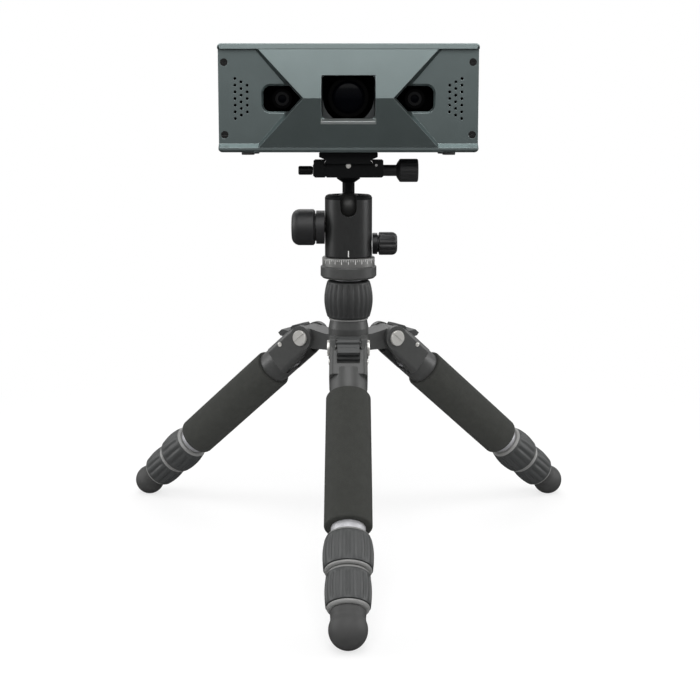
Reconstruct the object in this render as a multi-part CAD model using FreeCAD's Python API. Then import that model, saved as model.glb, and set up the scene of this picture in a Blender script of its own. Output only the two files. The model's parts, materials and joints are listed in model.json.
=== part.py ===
import FreeCAD, Part
import math
import os

# Desktop 3D scanner on a compact tripod, in millimetres.
# +Z is up, the scanner looks along -Y, and the front leg points to -Y.
# Shapes are built about the column axis and moved to the shared origin at export.

V = FreeCAD.Vector
X = V(1, 0, 0)
Y = V(0, 1, 0)
Z = V(0, 0, 1)

# Shared clearances and allowances
cut_overrun = 1.0
running_gap = 0.05
moving_gap = 0.3
face_gap = 0.2

# Legs: distances along a leg are measured from its pivot
leg_splay_deg = 49.19
pivot_radius = 37.17
foot_ball_radius = 12.9
foot_flat = 0.4
leg_azimuths_deg = {"front": -90, "right": 30, "left": 150}

# Leg casting
casting_cheek_width = 4.6
casting_half_height = 12.2
casting_end_radius = 9.8
casting_taper_end = 12.0
casting_block_length = 34.0
casting_edge_radius = 4.0
casting_collar_start = 28.0
casting_collar_radius = 14.2
casting_length = 47.7
fork_clearance = 2.2
relief_half_width = 7.0
relief_depth = 6.7
relief_end = 36.0
socket_start = 26.0

# Hub tongues and leg bolts
tongue_half_width = 9.7
tongue_radius = 8.8
tongue_root_above_pivot = 4.6
tongue_root_below_pivot = 8.6
notch_radius = 1.1
notch_angles_deg = (50, 28, 6, -16, -38)
bolt_shank_radius = 3.45
bolt_head_radius = 6.3
bolt_head_stand = 1.9
bolt_head_chamfer = 0.4
bolt_slot_half_width = 0.8
bolt_slot_depth = 0.6

# Angle tab on the upper side of a leg casting
tab_half_width = 8.4
tab_lift = 0.5
tab_start = -1.8
tab_end = 20.0
tab_nose = 11.4
tab_ridge_start = 3.2
tab_ridge_end = 5.6
tab_ridge_top = 14.0
tab_groove_start = 6.6
tab_groove_end = 9.4
tab_groove_top = 12.6
tab_lip_start = 14.0
tab_lip_end = 18.6
tab_lip_top = 17.8
tab_lip_under = 14.8
tab_tail_start = 16.4
tab_tail_top = 12.0
tab_travel = 4.0

# Leg tubes, foam grip, twist locks and foot
upper_tube_radius = 12.0
upper_tube_wall = 1.1
upper_tube_show = 4.6
upper_tube_seat = 10.4
grip_radius = 16.8
grip_length = 109.0
grip_edge_radius = 1.6
mid_tube_radius = 10.4
mid_tube_wall = 1.0
mid_tube_seat = 12.0
lower_tube_radius = 8.9
lower_tube_wall = 0.9
lower_tube_seat = 8.4
tube_nest_step = 9.0
upper_lock_length = 28.9
upper_lock_top_radius = 14.3
upper_lock_shoulder_length = 5.3
upper_lock_shoulder_radius = 16.5
upper_lock_swell = 0.92
upper_lock_rim_length = 4.7
upper_lock_rim_radius = 17.0
upper_lock_ring_radius = 16.2
upper_lock_tail_radius = 14.8
lower_lock_length = 26.2
lower_lock_top_radius = 14.1
lower_lock_shoulder_length = 4.7
lower_lock_shoulder_radius = 15.2
lower_lock_swell = 0.75
lower_lock_rim_length = 5.2
lower_lock_rim_radius = 15.4
lower_lock_ring_radius = 14.9
lower_lock_tail_radius = 12.8
lock_shoulder_swell = 0.35
lock_gap = 0.5
lock_groove = 0.7
foot_neck_radius = 11.5
foot_neck_length = 12.4

# Hub, centre column and column lock
hub_radius = 16.2
hub_top_radius = 15.0
hub_shoulder = 6.5
hub_below_pivot = 17.0
hub_neck_radius = 13.2
hub_neck_height = 26.0
hub_chamfer = 1.5
column_radius = 11.0
column_wall = 1.6
column_tail = 68.0
column_cap_radius = 12.4
column_cap_height = 6.0
column_spigot = 4.0
collar_above_pivot = 16.9
collar_height = 31.8
collar_rim_radius = 17.6
collar_swell = 2.1
collar_top_radius = 15.4
collar_end_height = 2.2
collar_end_swell = 0.5
collar_ring_radius = 15.8
collar_ring_height = 1.4

# Ball head
column_neck = 2.1
base_radius = 22.5
base_height = 9.9
base_chamfer = 1.8
base_post_radius = 8.0
base_post_height = 23.5
base_post_wall = 2.5
ring_radius = 21.1
ring_height = 7.2
ring_chamfer = 0.6
ball_radius = 12.5
housing_wall = 6.1
housing_height = 49.7
housing_foot_chamfer = 0.8
bezel_height = 3.7
bezel_edge_radius = 2.4
bezel_mouth_gap = 0.7
ball_below_housing_top = 10.4
ball_bore_radius = 6.0
notch_half_width = 6.5
stem_neck_radius = 4.9
stem_flare_radius = 9.3
stem_flare_start = 20.0
stem_flare_end = 23.0
stem_pin_radius = 4.0
stem_pin_height = 2.5
main_knob_below_top = 26.3
main_screw_radius = 4.0
main_screw_tip = 7.2
main_collar_radius = 13.4
main_collar_width = 6.6
main_groove_radius = 11.0
main_groove_width = 0.9
main_knob_radius = 14.5
main_knob_width = 18.8
main_knob_dome = 6.5
main_knob_edge = 1.4
pan_knob_below_top = 39.4
pan_screw_radius = 3.0
pan_screw_tip = 8.4
pan_collar_radius = 8.7
pan_collar_width = 5.0
pan_knob_radius = 9.3
pan_knob_width = 15.0
pan_knob_dome = 4.2
pan_knob_edge = 1.0

# Quick release clamp and plate
clamp_above_housing = 14.2
clamp_height = 13.2
clamp_floor_height = 10.5
clamp_half_width = 27.15
clamp_half_length = 22.0
clamp_jaw_width = 8.9
clamp_edge_chamfer = 1.2
clamp_screw_height = 4.9
clamp_screw_radius = 2.0
clamp_screw_tip = 36.5
guide_pin_radius = 2.0
guide_pin_length = 12.0
guide_pin_offset = 14.0
knob_boss_radius = 4.6
knob_boss_reach = 38.0
knob_flare_reach = 41.2
knob_head_radius = 9.3
knob_head_reach = 55.4
knob_head_edge = 1.3
nut_radius = 3.55
nut_start = 29.2
nut_reach = 39.9
nut_shank_radius = 2.9
nut_edge_chamfer = 0.7
plate_half_length = 25.0
plate_slab_half_width = 22.75
plate_neck_half_width = 17.5
plate_tail_half_width = 19.2
plate_height = 6.5
plate_slab_height = 3.6
plate_edge_chamfer = 0.6
plate_screw_radius = 3.1
plate_screw_reach = 8.0
plate_screw_head_radius = 7.5
plate_screw_head_height = 2.6
plate_screw_slot_half_width = 0.9
plate_screw_slot_depth = 1.2

# Scanner casing
scanner_half_width = 99.75
scanner_height = 82.5
scanner_wall = 2.5
scanner_corner_radius = 3.0
cover_floor_y = -28.0
cover_depth = 8.0
casing_depth = 51.0
rear_cover_thickness = 3.0
lip_stand = 4.4
lip_edge_radius = 1.6
top_lip_height = 4.2
bottom_lip_height = 3.4
bottom_bevel_height = 6.6
wedge_edge_stand = 4.0
wedge_ridge_stand = 8.6
wedge_top_half_width = 74.9
wedge_ridge_half_width = 39.3
wedge_top_draft = 3.2
wedge_ridge_draft = 5.1
wedge_cutter_share = 2.0
face_centre_lift = -0.3
camera_offset = 51.0
camera_well_outer_reach = 14.3
camera_well_inner_reach = 14.6
camera_well_half_height = 9.7
camera_well_point = 8.8
camera_well_corner_radius = 5.5
camera_well_chamfer = 1.5
projector_lift = 1.1
projector_half_width = 20.0
projector_half_height = 16.2
projector_corner_radius = 2.4
projector_seat_stand = 2.4
projector_side_chamfer = 0.9
projector_bottom_chamfer = 4.1
vent_counts = (7, 6, 5)
vent_side_inset = 12.85
vent_column_pitch = 4.65
vent_pitch = 5.05
vent_radius = 1.1

# Screws and bosses of the casing
screw_side_inset = 4.55
screw_edge_inset = 13.75
screw_head_radius = 2.9
screw_head_sink = 0.7
screw_radius = 1.4
screw_length = 14.0
screw_slot_half_width = 0.45
screw_slot_depth = 0.5
boss_radius = 3.6
boss_length = 9.0
screw_boss_radius = 8.5
screw_boss_height = 9.5

# Optics
optical_bar_setback = 6.0
optical_bar_thickness = 6.0
optical_bar_half_height = 20.0
camera_barrel_radius = 7.6
camera_barrel_bore_radius = 5.4
camera_barrel_setback = 3.4
camera_bore_depth = 5.0
camera_box_half_size = 11.0
camera_box_depth = 11.0
camera_glass_setback = 2.0
camera_glass_thickness = 1.4
camera_glass_crown = 0.9
projector_barrel_radius = 15.4
projector_bore_radius = 12.6
projector_barrel_stand = 1.0
projector_bore_depth = 8.0
projector_glass_setback = 3.8
projector_glass_thickness = 2.0
projector_glass_crown = 2.2
engine_half_width = 24.0
engine_half_height = 19.0
engine_depth = 15.0
fin_depth = 8.0
fin_count = 9
fin_thickness = 1.6

# Board, sockets, button, fan and feet
board_side_inset = 11.75
board_edge_inset = 11.25
board_fan_gap = 10.6
board_rear_gap = 13.0
board_thickness = 1.6
post_radius = 3.0
post_inset = 6.0
socket_block_inset = 17.0
socket_block_width = 43.0
socket_block_half_height = 7.0
usb_inset = 11.0
usb_half_width = 4.3
usb_half_height = 3.9
usb_depth = 9.0
power_inset = 10.0
power_bore_radius = 3.6
power_bore_depth = 9.0
power_pin_radius = 1.0
power_pin_length = 8.0
socket_below_centre = 12.0
button_side_inset = 13.75
button_below_centre = 12.0
button_radius = 5.0
button_stand = 1.4
button_flange_radius = 6.2
button_flange_thickness = 1.4
button_rest_gap = 1.2
fan_side_inset = 44.75
fan_radius = 18.6
fan_shroud_radius = 20.4
fan_shroud_wall = 2.0
fan_shroud_depth = 11.0
fan_hub_radius = 8.0
fan_front_inset = 2.0
fan_rear_gap = 1.6
fan_blade_count = 7
fan_blade_thickness = 1.4
fan_blade_twist_deg = 38
fan_pin_radius = 1.5
fan_pin_setback = 2.0
grille_hub_radius = 7.0
grille_arm_half_width = 1.3
grille_ring_radius = 13.6
grille_ring_half_width = 1.1
louvre_count = 6
louvre_pitch = 5.2
louvre_half_height = 1.2
louvre_half_length = 22.0
louvre_side_inset = 57.75
louvre_above_centre = 4.0
rear_corner_chamfer = 0.8
scanner_foot_radius = 5.0
scanner_foot_height = 2.0
scanner_foot_side_inset = 21.95
scanner_foot_front_inset = 5.0
scanner_foot_rear_inset = 9.0
scanner_foot_chamfer = 0.4

# Hinge sizes that follow from the sizes above
casting_half_width = tongue_half_width + moving_gap + casting_cheek_width
fork_floor = tongue_radius + fork_clearance
bolt_half_span = casting_half_width + bolt_head_stand
tab_floor = tongue_radius + tab_lift

# Ball head sizes that follow from the sizes above
housing_radius = ball_radius + moving_gap + housing_wall
bezel_mouth_radius = ball_radius + bezel_mouth_gap
main_head_start = housing_radius + moving_gap + main_collar_width + main_groove_width
main_knob_reach = main_head_start + main_knob_width
pan_knob_reach = housing_radius + moving_gap + pan_collar_width + pan_knob_width

# Distances along a leg that follow from the sizes above
grip_start = casting_length + moving_gap
grip_end = grip_start + grip_length
upper_lock_start = grip_end + upper_tube_show
upper_lock_end = upper_lock_start + upper_lock_length
lower_lock_start = upper_lock_end + lock_gap
lower_lock_end = lower_lock_start + lower_lock_length
foot_neck_start = lower_lock_end + moving_gap
leg_length = foot_neck_start + foot_neck_length
upper_tube_end = upper_lock_start + upper_tube_seat
mid_tube_start = relief_end + tube_nest_step
mid_tube_end = lower_lock_start + mid_tube_seat
lower_tube_start = mid_tube_start + tube_nest_step
lower_tube_end = foot_neck_start + lower_tube_seat

# Depths in the scanner that follow from the sizes above
cover_joint_y = cover_floor_y + cover_depth
rear_joint_y = cover_joint_y + casing_depth
rear_face_y = rear_joint_y + rear_cover_thickness
lip_front_y = cover_floor_y - lip_stand
wedge_edge_y = cover_floor_y - wedge_edge_stand
wedge_ridge_y = cover_floor_y - wedge_ridge_stand
projector_seat_y = cover_floor_y - projector_seat_stand
optical_bar_front_y = cover_joint_y + optical_bar_setback
optical_bar_rear_y = optical_bar_front_y + optical_bar_thickness
camera_barrel_front_y = cover_floor_y + camera_barrel_setback
camera_glass_front_y = camera_barrel_front_y + camera_glass_setback
camera_box_rear_y = optical_bar_rear_y + camera_box_depth
projector_barrel_front_y = cover_floor_y - projector_barrel_stand
projector_glass_front_y = projector_barrel_front_y + projector_glass_setback
engine_rear_y = optical_bar_rear_y + engine_depth
fin_rear_y = engine_rear_y + fin_depth
board_front_y = rear_joint_y - board_rear_gap
fan_shroud_front_y = rear_joint_y - fan_shroud_depth
fan_front_y = fan_shroud_front_y + fan_front_inset
fan_rear_y = rear_joint_y - fan_rear_gap
fan_pin_front_y = fan_front_y + fan_pin_setback
fan_bore_front_y = fan_pin_front_y - 2 * moving_gap
button_inner_y = rear_joint_y - button_rest_gap - button_flange_thickness
scanner_foot_front_y = cover_floor_y + scanner_foot_front_inset
scanner_foot_rear_y = rear_face_y - scanner_foot_rear_inset

# Places across the scanner that follow from the sizes above
camera_well_outer = camera_offset + camera_well_outer_reach
camera_well_inner = camera_offset - camera_well_inner_reach
screw_half_spacing = scanner_half_width - screw_side_inset
screw_above_centre = scanner_height / 2 - screw_edge_inset
button_x = scanner_half_width - button_side_inset
fan_x = scanner_half_width - fan_side_inset
louvre_x = louvre_side_inset - scanner_half_width
board_left_x = board_side_inset - scanner_half_width
board_right_x = fan_x - fan_shroud_radius - fan_shroud_wall - board_fan_gap
board_half_height = scanner_height / 2 - board_edge_inset
socket_block_left_x = board_left_x + socket_block_inset
socket_block_right_x = socket_block_left_x + socket_block_width
usb_centre_x = socket_block_left_x + usb_inset
power_centre_x = socket_block_right_x - power_inset
scanner_foot_x = scanner_half_width - scanner_foot_side_inset

# Heights that follow from the sizes above
splay = math.radians(leg_splay_deg)
foot_centre_z = foot_ball_radius - foot_flat
pivot_z = foot_centre_z + leg_length * math.cos(splay)
foot_ring_radius = pivot_radius + leg_length * math.sin(splay)
collar_z = pivot_z + collar_above_pivot
base_z = collar_z + collar_height + column_neck
ring_z = base_z + base_height
housing_z = ring_z + ring_height
housing_top_z = housing_z + housing_height
bezel_z = housing_top_z - bezel_height
ball_z = housing_top_z - ball_below_housing_top
main_knob_z = housing_top_z - main_knob_below_top
pan_knob_z = housing_top_z - pan_knob_below_top
clamp_z = housing_top_z + clamp_above_housing
clamp_floor_z = clamp_z + clamp_floor_height
clamp_top_z = clamp_z + clamp_height
clamp_screw_z = clamp_z + clamp_screw_height
scanner_z = clamp_top_z + plate_height
scanner_top_z = scanner_z + scanner_height
face_z = scanner_z + scanner_height / 2 + face_centre_lift
projector_z = face_z + projector_lift
column_bottom_z = pivot_z - column_tail
origin_shift = V(0, foot_ring_radius / 4, 0)


# Basic solids

def rod(radius, start, end, axis=Z, centre=V(0, 0, 0)):
    """Cylinder along an axis between two distances from a centre."""
    return Part.makeCylinder(radius, end - start, centre + axis * start, axis)


def tube(radius, bore, start, end, axis=Z, centre=V(0, 0, 0)):
    hole = rod(bore, start - cut_overrun, end + cut_overrun, axis, centre)
    return rod(radius, start, end, axis, centre).cut(hole)


def block(x0, x1, y0, y1, z0, z1):
    return Part.makeBox(x1 - x0, y1 - y0, z1 - z0, V(x0, y0, z0))


def polygon(points):
    return Part.makePolygon(points + [points[0]])


def prism(points, sweep):
    return Part.Face(polygon(points)).extrude(sweep)


def turned(profile, centre=V(0, 0, 0), axis=Z):
    """Solid of revolution from (radius, distance along the axis) points.

    A third number swells the side that leads to its point into an arc of that height.
    """
    corners = [V(step[0], 0, step[1]) for step in profile]
    sides = []
    for i, step in enumerate(profile):
        start, end = corners[i - 1], corners[i]
        if len(step) == 3:
            run = end - start
            outward = V(run.z, 0, -run.x).normalize()
            sides.append(Part.Arc(start, (start + end) / 2 + outward * step[2], end).toShape())
        else:
            sides.append(Part.makeLine(start, end))
    solid = Part.Face(Part.Wire(sides)).revolve(V(0, 0, 0), Z, 360)
    solid.Placement = FreeCAD.Placement(centre, FreeCAD.Rotation(Z, axis))
    return solid


def rounded_rectangle(x0, x1, z0, z1, radius, y):
    """Closed wire in a plane of constant y."""
    plate = Part.makeBox(x1 - x0, cut_overrun, z1 - z0, V(x0, y, z0))
    edges = [e for e in plate.Edges if abs(e.tangentAt(e.FirstParameter).y) > 0.5]
    rounded = plate.makeFillet(radius, edges)
    faces = [f for f in rounded.Faces if abs(f.CenterOfMass.y - y) < cut_overrun / 4]
    return faces[0].OuterWire


def edges_along(shape, direction):
    found = []
    for edge in shape.Edges:
        if edge.Curve.TypeId == "Part::GeomLine":
            if abs(edge.tangentAt(edge.FirstParameter).dot(direction)) > 0.999:
                found.append(edge)
    return found


def rounded_block(x0, x1, y0, y1, z0, z1, radius, direction):
    solid = block(x0, x1, y0, y1, z0, z1)
    return solid.makeFillet(radius, edges_along(solid, direction))


def fused(shapes):
    whole = shapes[0].multiFuse(shapes[1:])
    return whole.removeSplitter()


def around(shape, centre, axis, degrees):
    turned_copy = shape.copy()
    turned_copy.rotate(centre, axis, degrees)
    return turned_copy


# Placing a leg: x is its upper side, y its bolt axis and z runs from pivot to foot

def leg_placement(azimuth_deg):
    tilt = FreeCAD.Matrix(
        math.cos(splay), 0, math.sin(splay), pivot_radius,
        0, -1, 0, 0,
        math.sin(splay), 0, -math.cos(splay), pivot_z,
        0, 0, 0, 1)
    swing = FreeCAD.Placement(V(0, 0, 0), FreeCAD.Rotation(Z, azimuth_deg))
    return swing.multiply(FreeCAD.Placement(tilt))


def placed_on_leg(shape, azimuth_deg):
    placed = shape.copy()
    placed.Placement = leg_placement(azimuth_deg).multiply(placed.Placement)
    return placed


# Leg pieces in the leg's own frame

def leg_casting():
    """Fork that tapers towards the bolt and turns into a round collar for the tube."""
    body = prism([
        V(-casting_end_radius, -casting_half_width, 0),
        V(casting_end_radius, -casting_half_width, 0),
        V(casting_half_height, -casting_half_width, casting_taper_end),
        V(casting_half_height, -casting_half_width, casting_block_length),
        V(-casting_half_height, -casting_half_width, casting_block_length),
        V(-casting_half_height, -casting_half_width, casting_taper_end),
    ], Y * (2 * casting_half_width))
    body = body.makeFillet(casting_edge_radius, edges_along(body, Z))
    eye = rod(casting_end_radius, -casting_half_width, casting_half_width, Y)
    collar = rod(casting_collar_radius, casting_collar_start, casting_length)
    body = body.fuse(eye).fuse(collar)
    fork_half_width = tongue_half_width + moving_gap
    reach = casting_half_height + cut_overrun
    body = body.cut(block(-reach, reach, -fork_half_width, fork_half_width, -reach, fork_floor))
    body = body.cut(block(-reach, relief_depth - casting_half_height,
                          -relief_half_width, relief_half_width,
                          fork_floor - cut_overrun, relief_end))
    body = body.cut(rod(upper_tube_radius, socket_start, casting_length + cut_overrun))
    body = body.cut(rod(bolt_shank_radius + running_gap, -casting_half_width - cut_overrun,
                        casting_half_width + cut_overrun, Y))
    channel = tab_half_width + moving_gap
    body = body.cut(block(tab_floor - moving_gap, reach, -channel, channel,
                          0, tab_end + tab_travel + moving_gap))
    return body.removeSplitter()


def angle_tab():
    """Sliding catch: a low ridge, a groove and a raised lip for the finger."""
    profile = [
        V(tab_floor, 0, tab_start),
        V(tab_floor, 0, tab_end),
        V(tab_tail_top, 0, tab_end),
        V(tab_tail_top, 0, tab_tail_start),
        V(tab_lip_under, 0, tab_lip_end),
        V(tab_lip_top, 0, tab_lip_end),
        V(tab_lip_top, 0, tab_lip_start),
        V(tab_groove_top, 0, tab_groove_end),
        V(tab_groove_top, 0, tab_groove_start),
        V(tab_ridge_top, 0, tab_ridge_end),
        V(tab_ridge_top, 0, tab_ridge_start),
        V(tab_nose, 0, tab_start),
    ]
    tab = prism(profile, Y * (2 * tab_half_width))
    tab.translate(-Y * tab_half_width)
    return tab


def upper_tube():
    bore = upper_tube_radius - upper_tube_wall
    return tube(upper_tube_radius, bore, socket_start, upper_tube_end)


def foam_grip():
    grip = tube(grip_radius, upper_tube_radius, grip_start, grip_end)
    rims = [e for e in grip.Edges if e.Curve.TypeId == "Part::GeomCircle"
            and abs(e.Curve.Radius - grip_radius) < moving_gap]
    return grip.makeFillet(grip_edge_radius, rims)


def lock_barrel(start, end, top_radius, shoulder, shoulder_radius, swell,
                rim, rim_radius, ring_radius, tail_radius):
    """Grip of a twist lock: smooth shoulder, swollen body, groove and end ring."""
    return turned([
        (0, start),
        (top_radius, start),
        (shoulder_radius, start + shoulder, lock_shoulder_swell),
        (rim_radius, end - rim, swell),
        (rim_radius - lock_groove, end - rim),
        (rim_radius - lock_groove, end - rim + lock_groove),
        (ring_radius, end - rim + lock_groove),
        (tail_radius, end, lock_shoulder_swell),
        (0, end),
    ])


def bored_lock(barrel, start, end, outer_tube_radius, outer_tube_end, inner_tube_radius):
    """Bore a lock for the outer tube first and the sliding tube after it."""
    barrel = barrel.cut(rod(outer_tube_radius + running_gap, start - cut_overrun,
                            outer_tube_end + moving_gap))
    return barrel.cut(rod(inner_tube_radius + running_gap, start, end + cut_overrun))


def upper_lock():
    barrel = lock_barrel(upper_lock_start, upper_lock_end, upper_lock_top_radius,
                         upper_lock_shoulder_length, upper_lock_shoulder_radius,
                         upper_lock_swell, upper_lock_rim_length, upper_lock_rim_radius,
                         upper_lock_ring_radius, upper_lock_tail_radius)
    return bored_lock(barrel, upper_lock_start, upper_lock_end,
                      upper_tube_radius, upper_tube_end, mid_tube_radius)


def mid_tube():
    return tube(mid_tube_radius, mid_tube_radius - mid_tube_wall, mid_tube_start, mid_tube_end)


def lower_lock():
    barrel = lock_barrel(lower_lock_start, lower_lock_end, lower_lock_top_radius,
                         lower_lock_shoulder_length, lower_lock_shoulder_radius,
                         lower_lock_swell, lower_lock_rim_length, lower_lock_rim_radius,
                         lower_lock_ring_radius, lower_lock_tail_radius)
    return bored_lock(barrel, lower_lock_start, lower_lock_end,
                      mid_tube_radius, mid_tube_end, lower_tube_radius)


def lower_tube():
    bore = lower_tube_radius - lower_tube_wall
    return tube(lower_tube_radius, bore, lower_tube_start, lower_tube_end)


def rubber_foot():
    neck = rod(foot_neck_radius, foot_neck_start, leg_length)
    foot = neck.fuse(Part.makeSphere(foot_ball_radius, V(0, 0, leg_length)))
    return foot.cut(rod(lower_tube_radius, foot_neck_start - cut_overrun, lower_tube_end))


def ground_cutter():
    reach = 2 * foot_ring_radius
    return block(-reach, reach, -reach, reach, -reach, 0)


def leg_nodes(name, azimuth_deg):
    pieces = {
        "casting": leg_casting(),
        "angle_tab": angle_tab(),
        "upper_tube": upper_tube(),
        "grip": foam_grip(),
        "upper_lock": upper_lock(),
        "mid_tube": mid_tube(),
        "lower_lock": lower_lock(),
        "lower_tube": lower_tube(),
        "foot": rubber_foot(),
    }
    placed = {}
    for piece, shape in pieces.items():
        placed[name + "_leg_" + piece] = placed_on_leg(shape, azimuth_deg)
    foot = name + "_leg_foot"
    placed[foot] = placed[foot].cut(ground_cutter())
    return placed


def leg_bolt():
    head_start = casting_half_width + face_gap / 2
    bolt = rod(bolt_shank_radius, -bolt_half_span, bolt_half_span, Y)
    for side in (Y, -Y):
        head = turned([
            (0, head_start),
            (bolt_head_radius, head_start),
            (bolt_head_radius, bolt_half_span - bolt_head_chamfer),
            (bolt_head_radius - bolt_head_chamfer, bolt_half_span),
            (0, bolt_half_span),
        ], V(0, 0, 0), side)
        bolt = bolt.fuse(head)
    reach = bolt_head_radius + cut_overrun
    for side in (1, -1):
        inner = side * (bolt_half_span - bolt_slot_depth)
        outer = side * (bolt_half_span + cut_overrun)
        slot = block(-bolt_slot_half_width, bolt_slot_half_width,
                     min(inner, outer), max(inner, outer), -reach, reach)
        bolt = bolt.cut(slot)
    return bolt.removeSplitter()


def leg_bolts():
    return Part.makeCompound([placed_on_leg(leg_bolt(), a) for a in leg_azimuths_deg.values()])


# Hub and column

def hub_tongue(azimuth_deg):
    centre = V(pivot_radius, 0, pivot_z)
    eye = rod(tongue_radius, -tongue_half_width, tongue_half_width, Y, centre)
    root_top = pivot_z + tongue_root_above_pivot
    root_bottom = pivot_z - tongue_root_below_pivot
    bridge = prism([
        V(0, -tongue_half_width, root_bottom),
        V(hub_radius, -tongue_half_width, root_bottom),
        V(pivot_radius, -tongue_half_width, pivot_z - tongue_radius),
        V(pivot_radius, -tongue_half_width, pivot_z + tongue_radius),
        V(hub_radius, -tongue_half_width, root_top),
        V(0, -tongue_half_width, root_top),
    ], Y * (2 * tongue_half_width))
    tongue = eye.fuse(bridge)
    for angle in notch_angles_deg:
        turn = math.radians(angle)
        at = centre + V(math.cos(turn), 0, math.sin(turn)) * (tongue_radius + notch_radius / 3)
        reach = tongue_half_width + cut_overrun
        tongue = tongue.cut(rod(notch_radius, -reach, reach, Y, at))
    tongue = tongue.cut(rod(bolt_shank_radius, -tongue_half_width - cut_overrun,
                            tongue_half_width + cut_overrun, Y, centre))
    return around(tongue, V(0, 0, 0), Z, azimuth_deg)


def hub():
    bottom = pivot_z - hub_below_pivot
    top = collar_z - moving_gap
    core = turned([
        (0, bottom),
        (hub_radius - hub_chamfer, bottom),
        (hub_radius, bottom + hub_chamfer),
        (hub_radius, top - hub_shoulder),
        (hub_top_radius, top),
        (hub_neck_radius, top),
        (hub_neck_radius, top + hub_neck_height),
        (0, top + hub_neck_height),
    ])
    body = fused([core] + [hub_tongue(a) for a in leg_azimuths_deg.values()])
    bore = rod(column_radius + running_gap, bottom - cut_overrun,
               top + hub_neck_height + cut_overrun)
    return body.cut(bore)


def center_column():
    column = rod(column_radius, column_bottom_z, base_z + column_spigot)
    cap = rod(column_cap_radius, column_bottom_z, column_bottom_z + column_cap_height)
    column = column.fuse(cap)
    bore = rod(column_radius - column_wall, column_bottom_z + column_cap_height,
               base_z + column_spigot + cut_overrun)
    return column.cut(bore)


def column_lock():
    top = collar_z + collar_height
    barrel_z = collar_z + collar_ring_height
    barrel = turned([
        (0, collar_z),
        (collar_ring_radius, collar_z),
        (collar_ring_radius, barrel_z),
        (collar_rim_radius, barrel_z + collar_end_height, collar_end_swell),
        (collar_rim_radius, top - collar_end_height, collar_swell),
        (collar_top_radius, top, collar_end_swell),
        (0, top),
    ])
    neck_top = collar_z - moving_gap + hub_neck_height
    barrel = barrel.cut(rod(hub_neck_radius + running_gap, collar_z - cut_overrun,
                            neck_top + moving_gap))
    return barrel.cut(rod(column_radius + running_gap, collar_z, top + cut_overrun))


# Ball head

def base_plate():
    plate = turned([
        (0, base_z),
        (base_radius - base_chamfer, base_z),
        (base_radius, base_z + base_chamfer),
        (base_radius, ring_z - base_chamfer / 2),
        (base_radius - base_chamfer / 2, ring_z),
        (base_post_radius, ring_z),
        (base_post_radius, ring_z + base_post_height),
        (0, ring_z + base_post_height),
    ])
    plate = plate.cut(rod(column_radius, base_z - cut_overrun, base_z + column_spigot))
    bore = base_post_radius - base_post_wall
    return plate.cut(rod(bore, base_z, ring_z + base_post_height + cut_overrun))


def pan_ring():
    top = housing_z - face_gap
    return turned([
        (base_post_radius, ring_z),
        (ring_radius, ring_z),
        (ring_radius, top - ring_chamfer),
        (ring_radius - ring_chamfer, top),
        (base_post_radius, top),
    ])


def front_notch():
    reach = housing_radius + cut_overrun
    round_end = rod(notch_half_width, 0, reach, -Y, V(0, 0, ball_z))
    gap = block(-notch_half_width, notch_half_width, -reach, 0,
                ball_z, housing_top_z + cut_overrun)
    return round_end.fuse(gap)


def ball_housing():
    body = turned([
        (0, housing_z),
        (housing_radius - housing_foot_chamfer, housing_z),
        (housing_radius, housing_z + housing_foot_chamfer),
        (housing_radius, bezel_z),
        (0, bezel_z),
    ])
    seat = ball_radius + moving_gap
    body = body.cut(Part.makeSphere(seat, V(0, 0, ball_z)))
    body = body.cut(rod(seat, ball_z, bezel_z + cut_overrun))
    body = body.cut(front_notch())
    post_top = ring_z + base_post_height + moving_gap
    body = body.cut(rod(base_post_radius + running_gap, housing_z - cut_overrun, post_top))
    reach = housing_radius + cut_overrun
    body = body.cut(rod(main_screw_radius + running_gap, main_screw_tip - moving_gap, reach,
                        -X, V(0, 0, main_knob_z)))
    body = body.cut(rod(pan_screw_radius + running_gap, 0, reach, X, V(0, 0, pan_knob_z)))
    return body.removeSplitter()


def housing_bezel():
    rise = bezel_z - ball_z
    throat = math.sqrt((ball_radius + moving_gap) ** 2 - rise ** 2)
    ring = turned([
        (throat, bezel_z),
        (housing_radius, bezel_z),
        (housing_radius, housing_top_z - bezel_edge_radius),
        (housing_radius - bezel_edge_radius / 3, housing_top_z - bezel_edge_radius / 3),
        (housing_radius - bezel_edge_radius, housing_top_z),
        (bezel_mouth_radius, housing_top_z),
    ])
    return ring.cut(front_notch())


def ball():
    sphere = Part.makeSphere(ball_radius, V(0, 0, ball_z))
    return sphere.cut(rod(ball_bore_radius, -ball_radius - cut_overrun, 0, Z, V(0, 0, ball_z)))


def ball_stem():
    centre = V(0, 0, ball_z)
    top = clamp_z - face_gap - ball_z
    stem = turned([
        (0, ball_radius / 2),
        (stem_neck_radius, ball_radius / 2),
        (stem_neck_radius, stem_flare_start),
        (stem_flare_radius, stem_flare_end),
        (stem_flare_radius, top),
        (stem_pin_radius, top),
        (stem_pin_radius, top + stem_pin_height),
        (0, top + stem_pin_height),
    ], centre)
    return stem.cut(Part.makeSphere(ball_radius + moving_gap, centre))


def rounded_rim(shape, rim_radius, fillet, centre, axis, distance):
    """Round the circular edge of one radius that lies at a distance along an axis."""
    rims = []
    for edge in shape.Edges:
        if edge.Curve.TypeId == "Part::GeomCircle":
            along = (edge.Curve.Center - centre).dot(axis)
            if abs(along - distance) < face_gap and abs(edge.Curve.Radius - rim_radius) < face_gap:
                rims.append(edge)
    return shape.makeFillet(fillet, rims)


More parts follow.
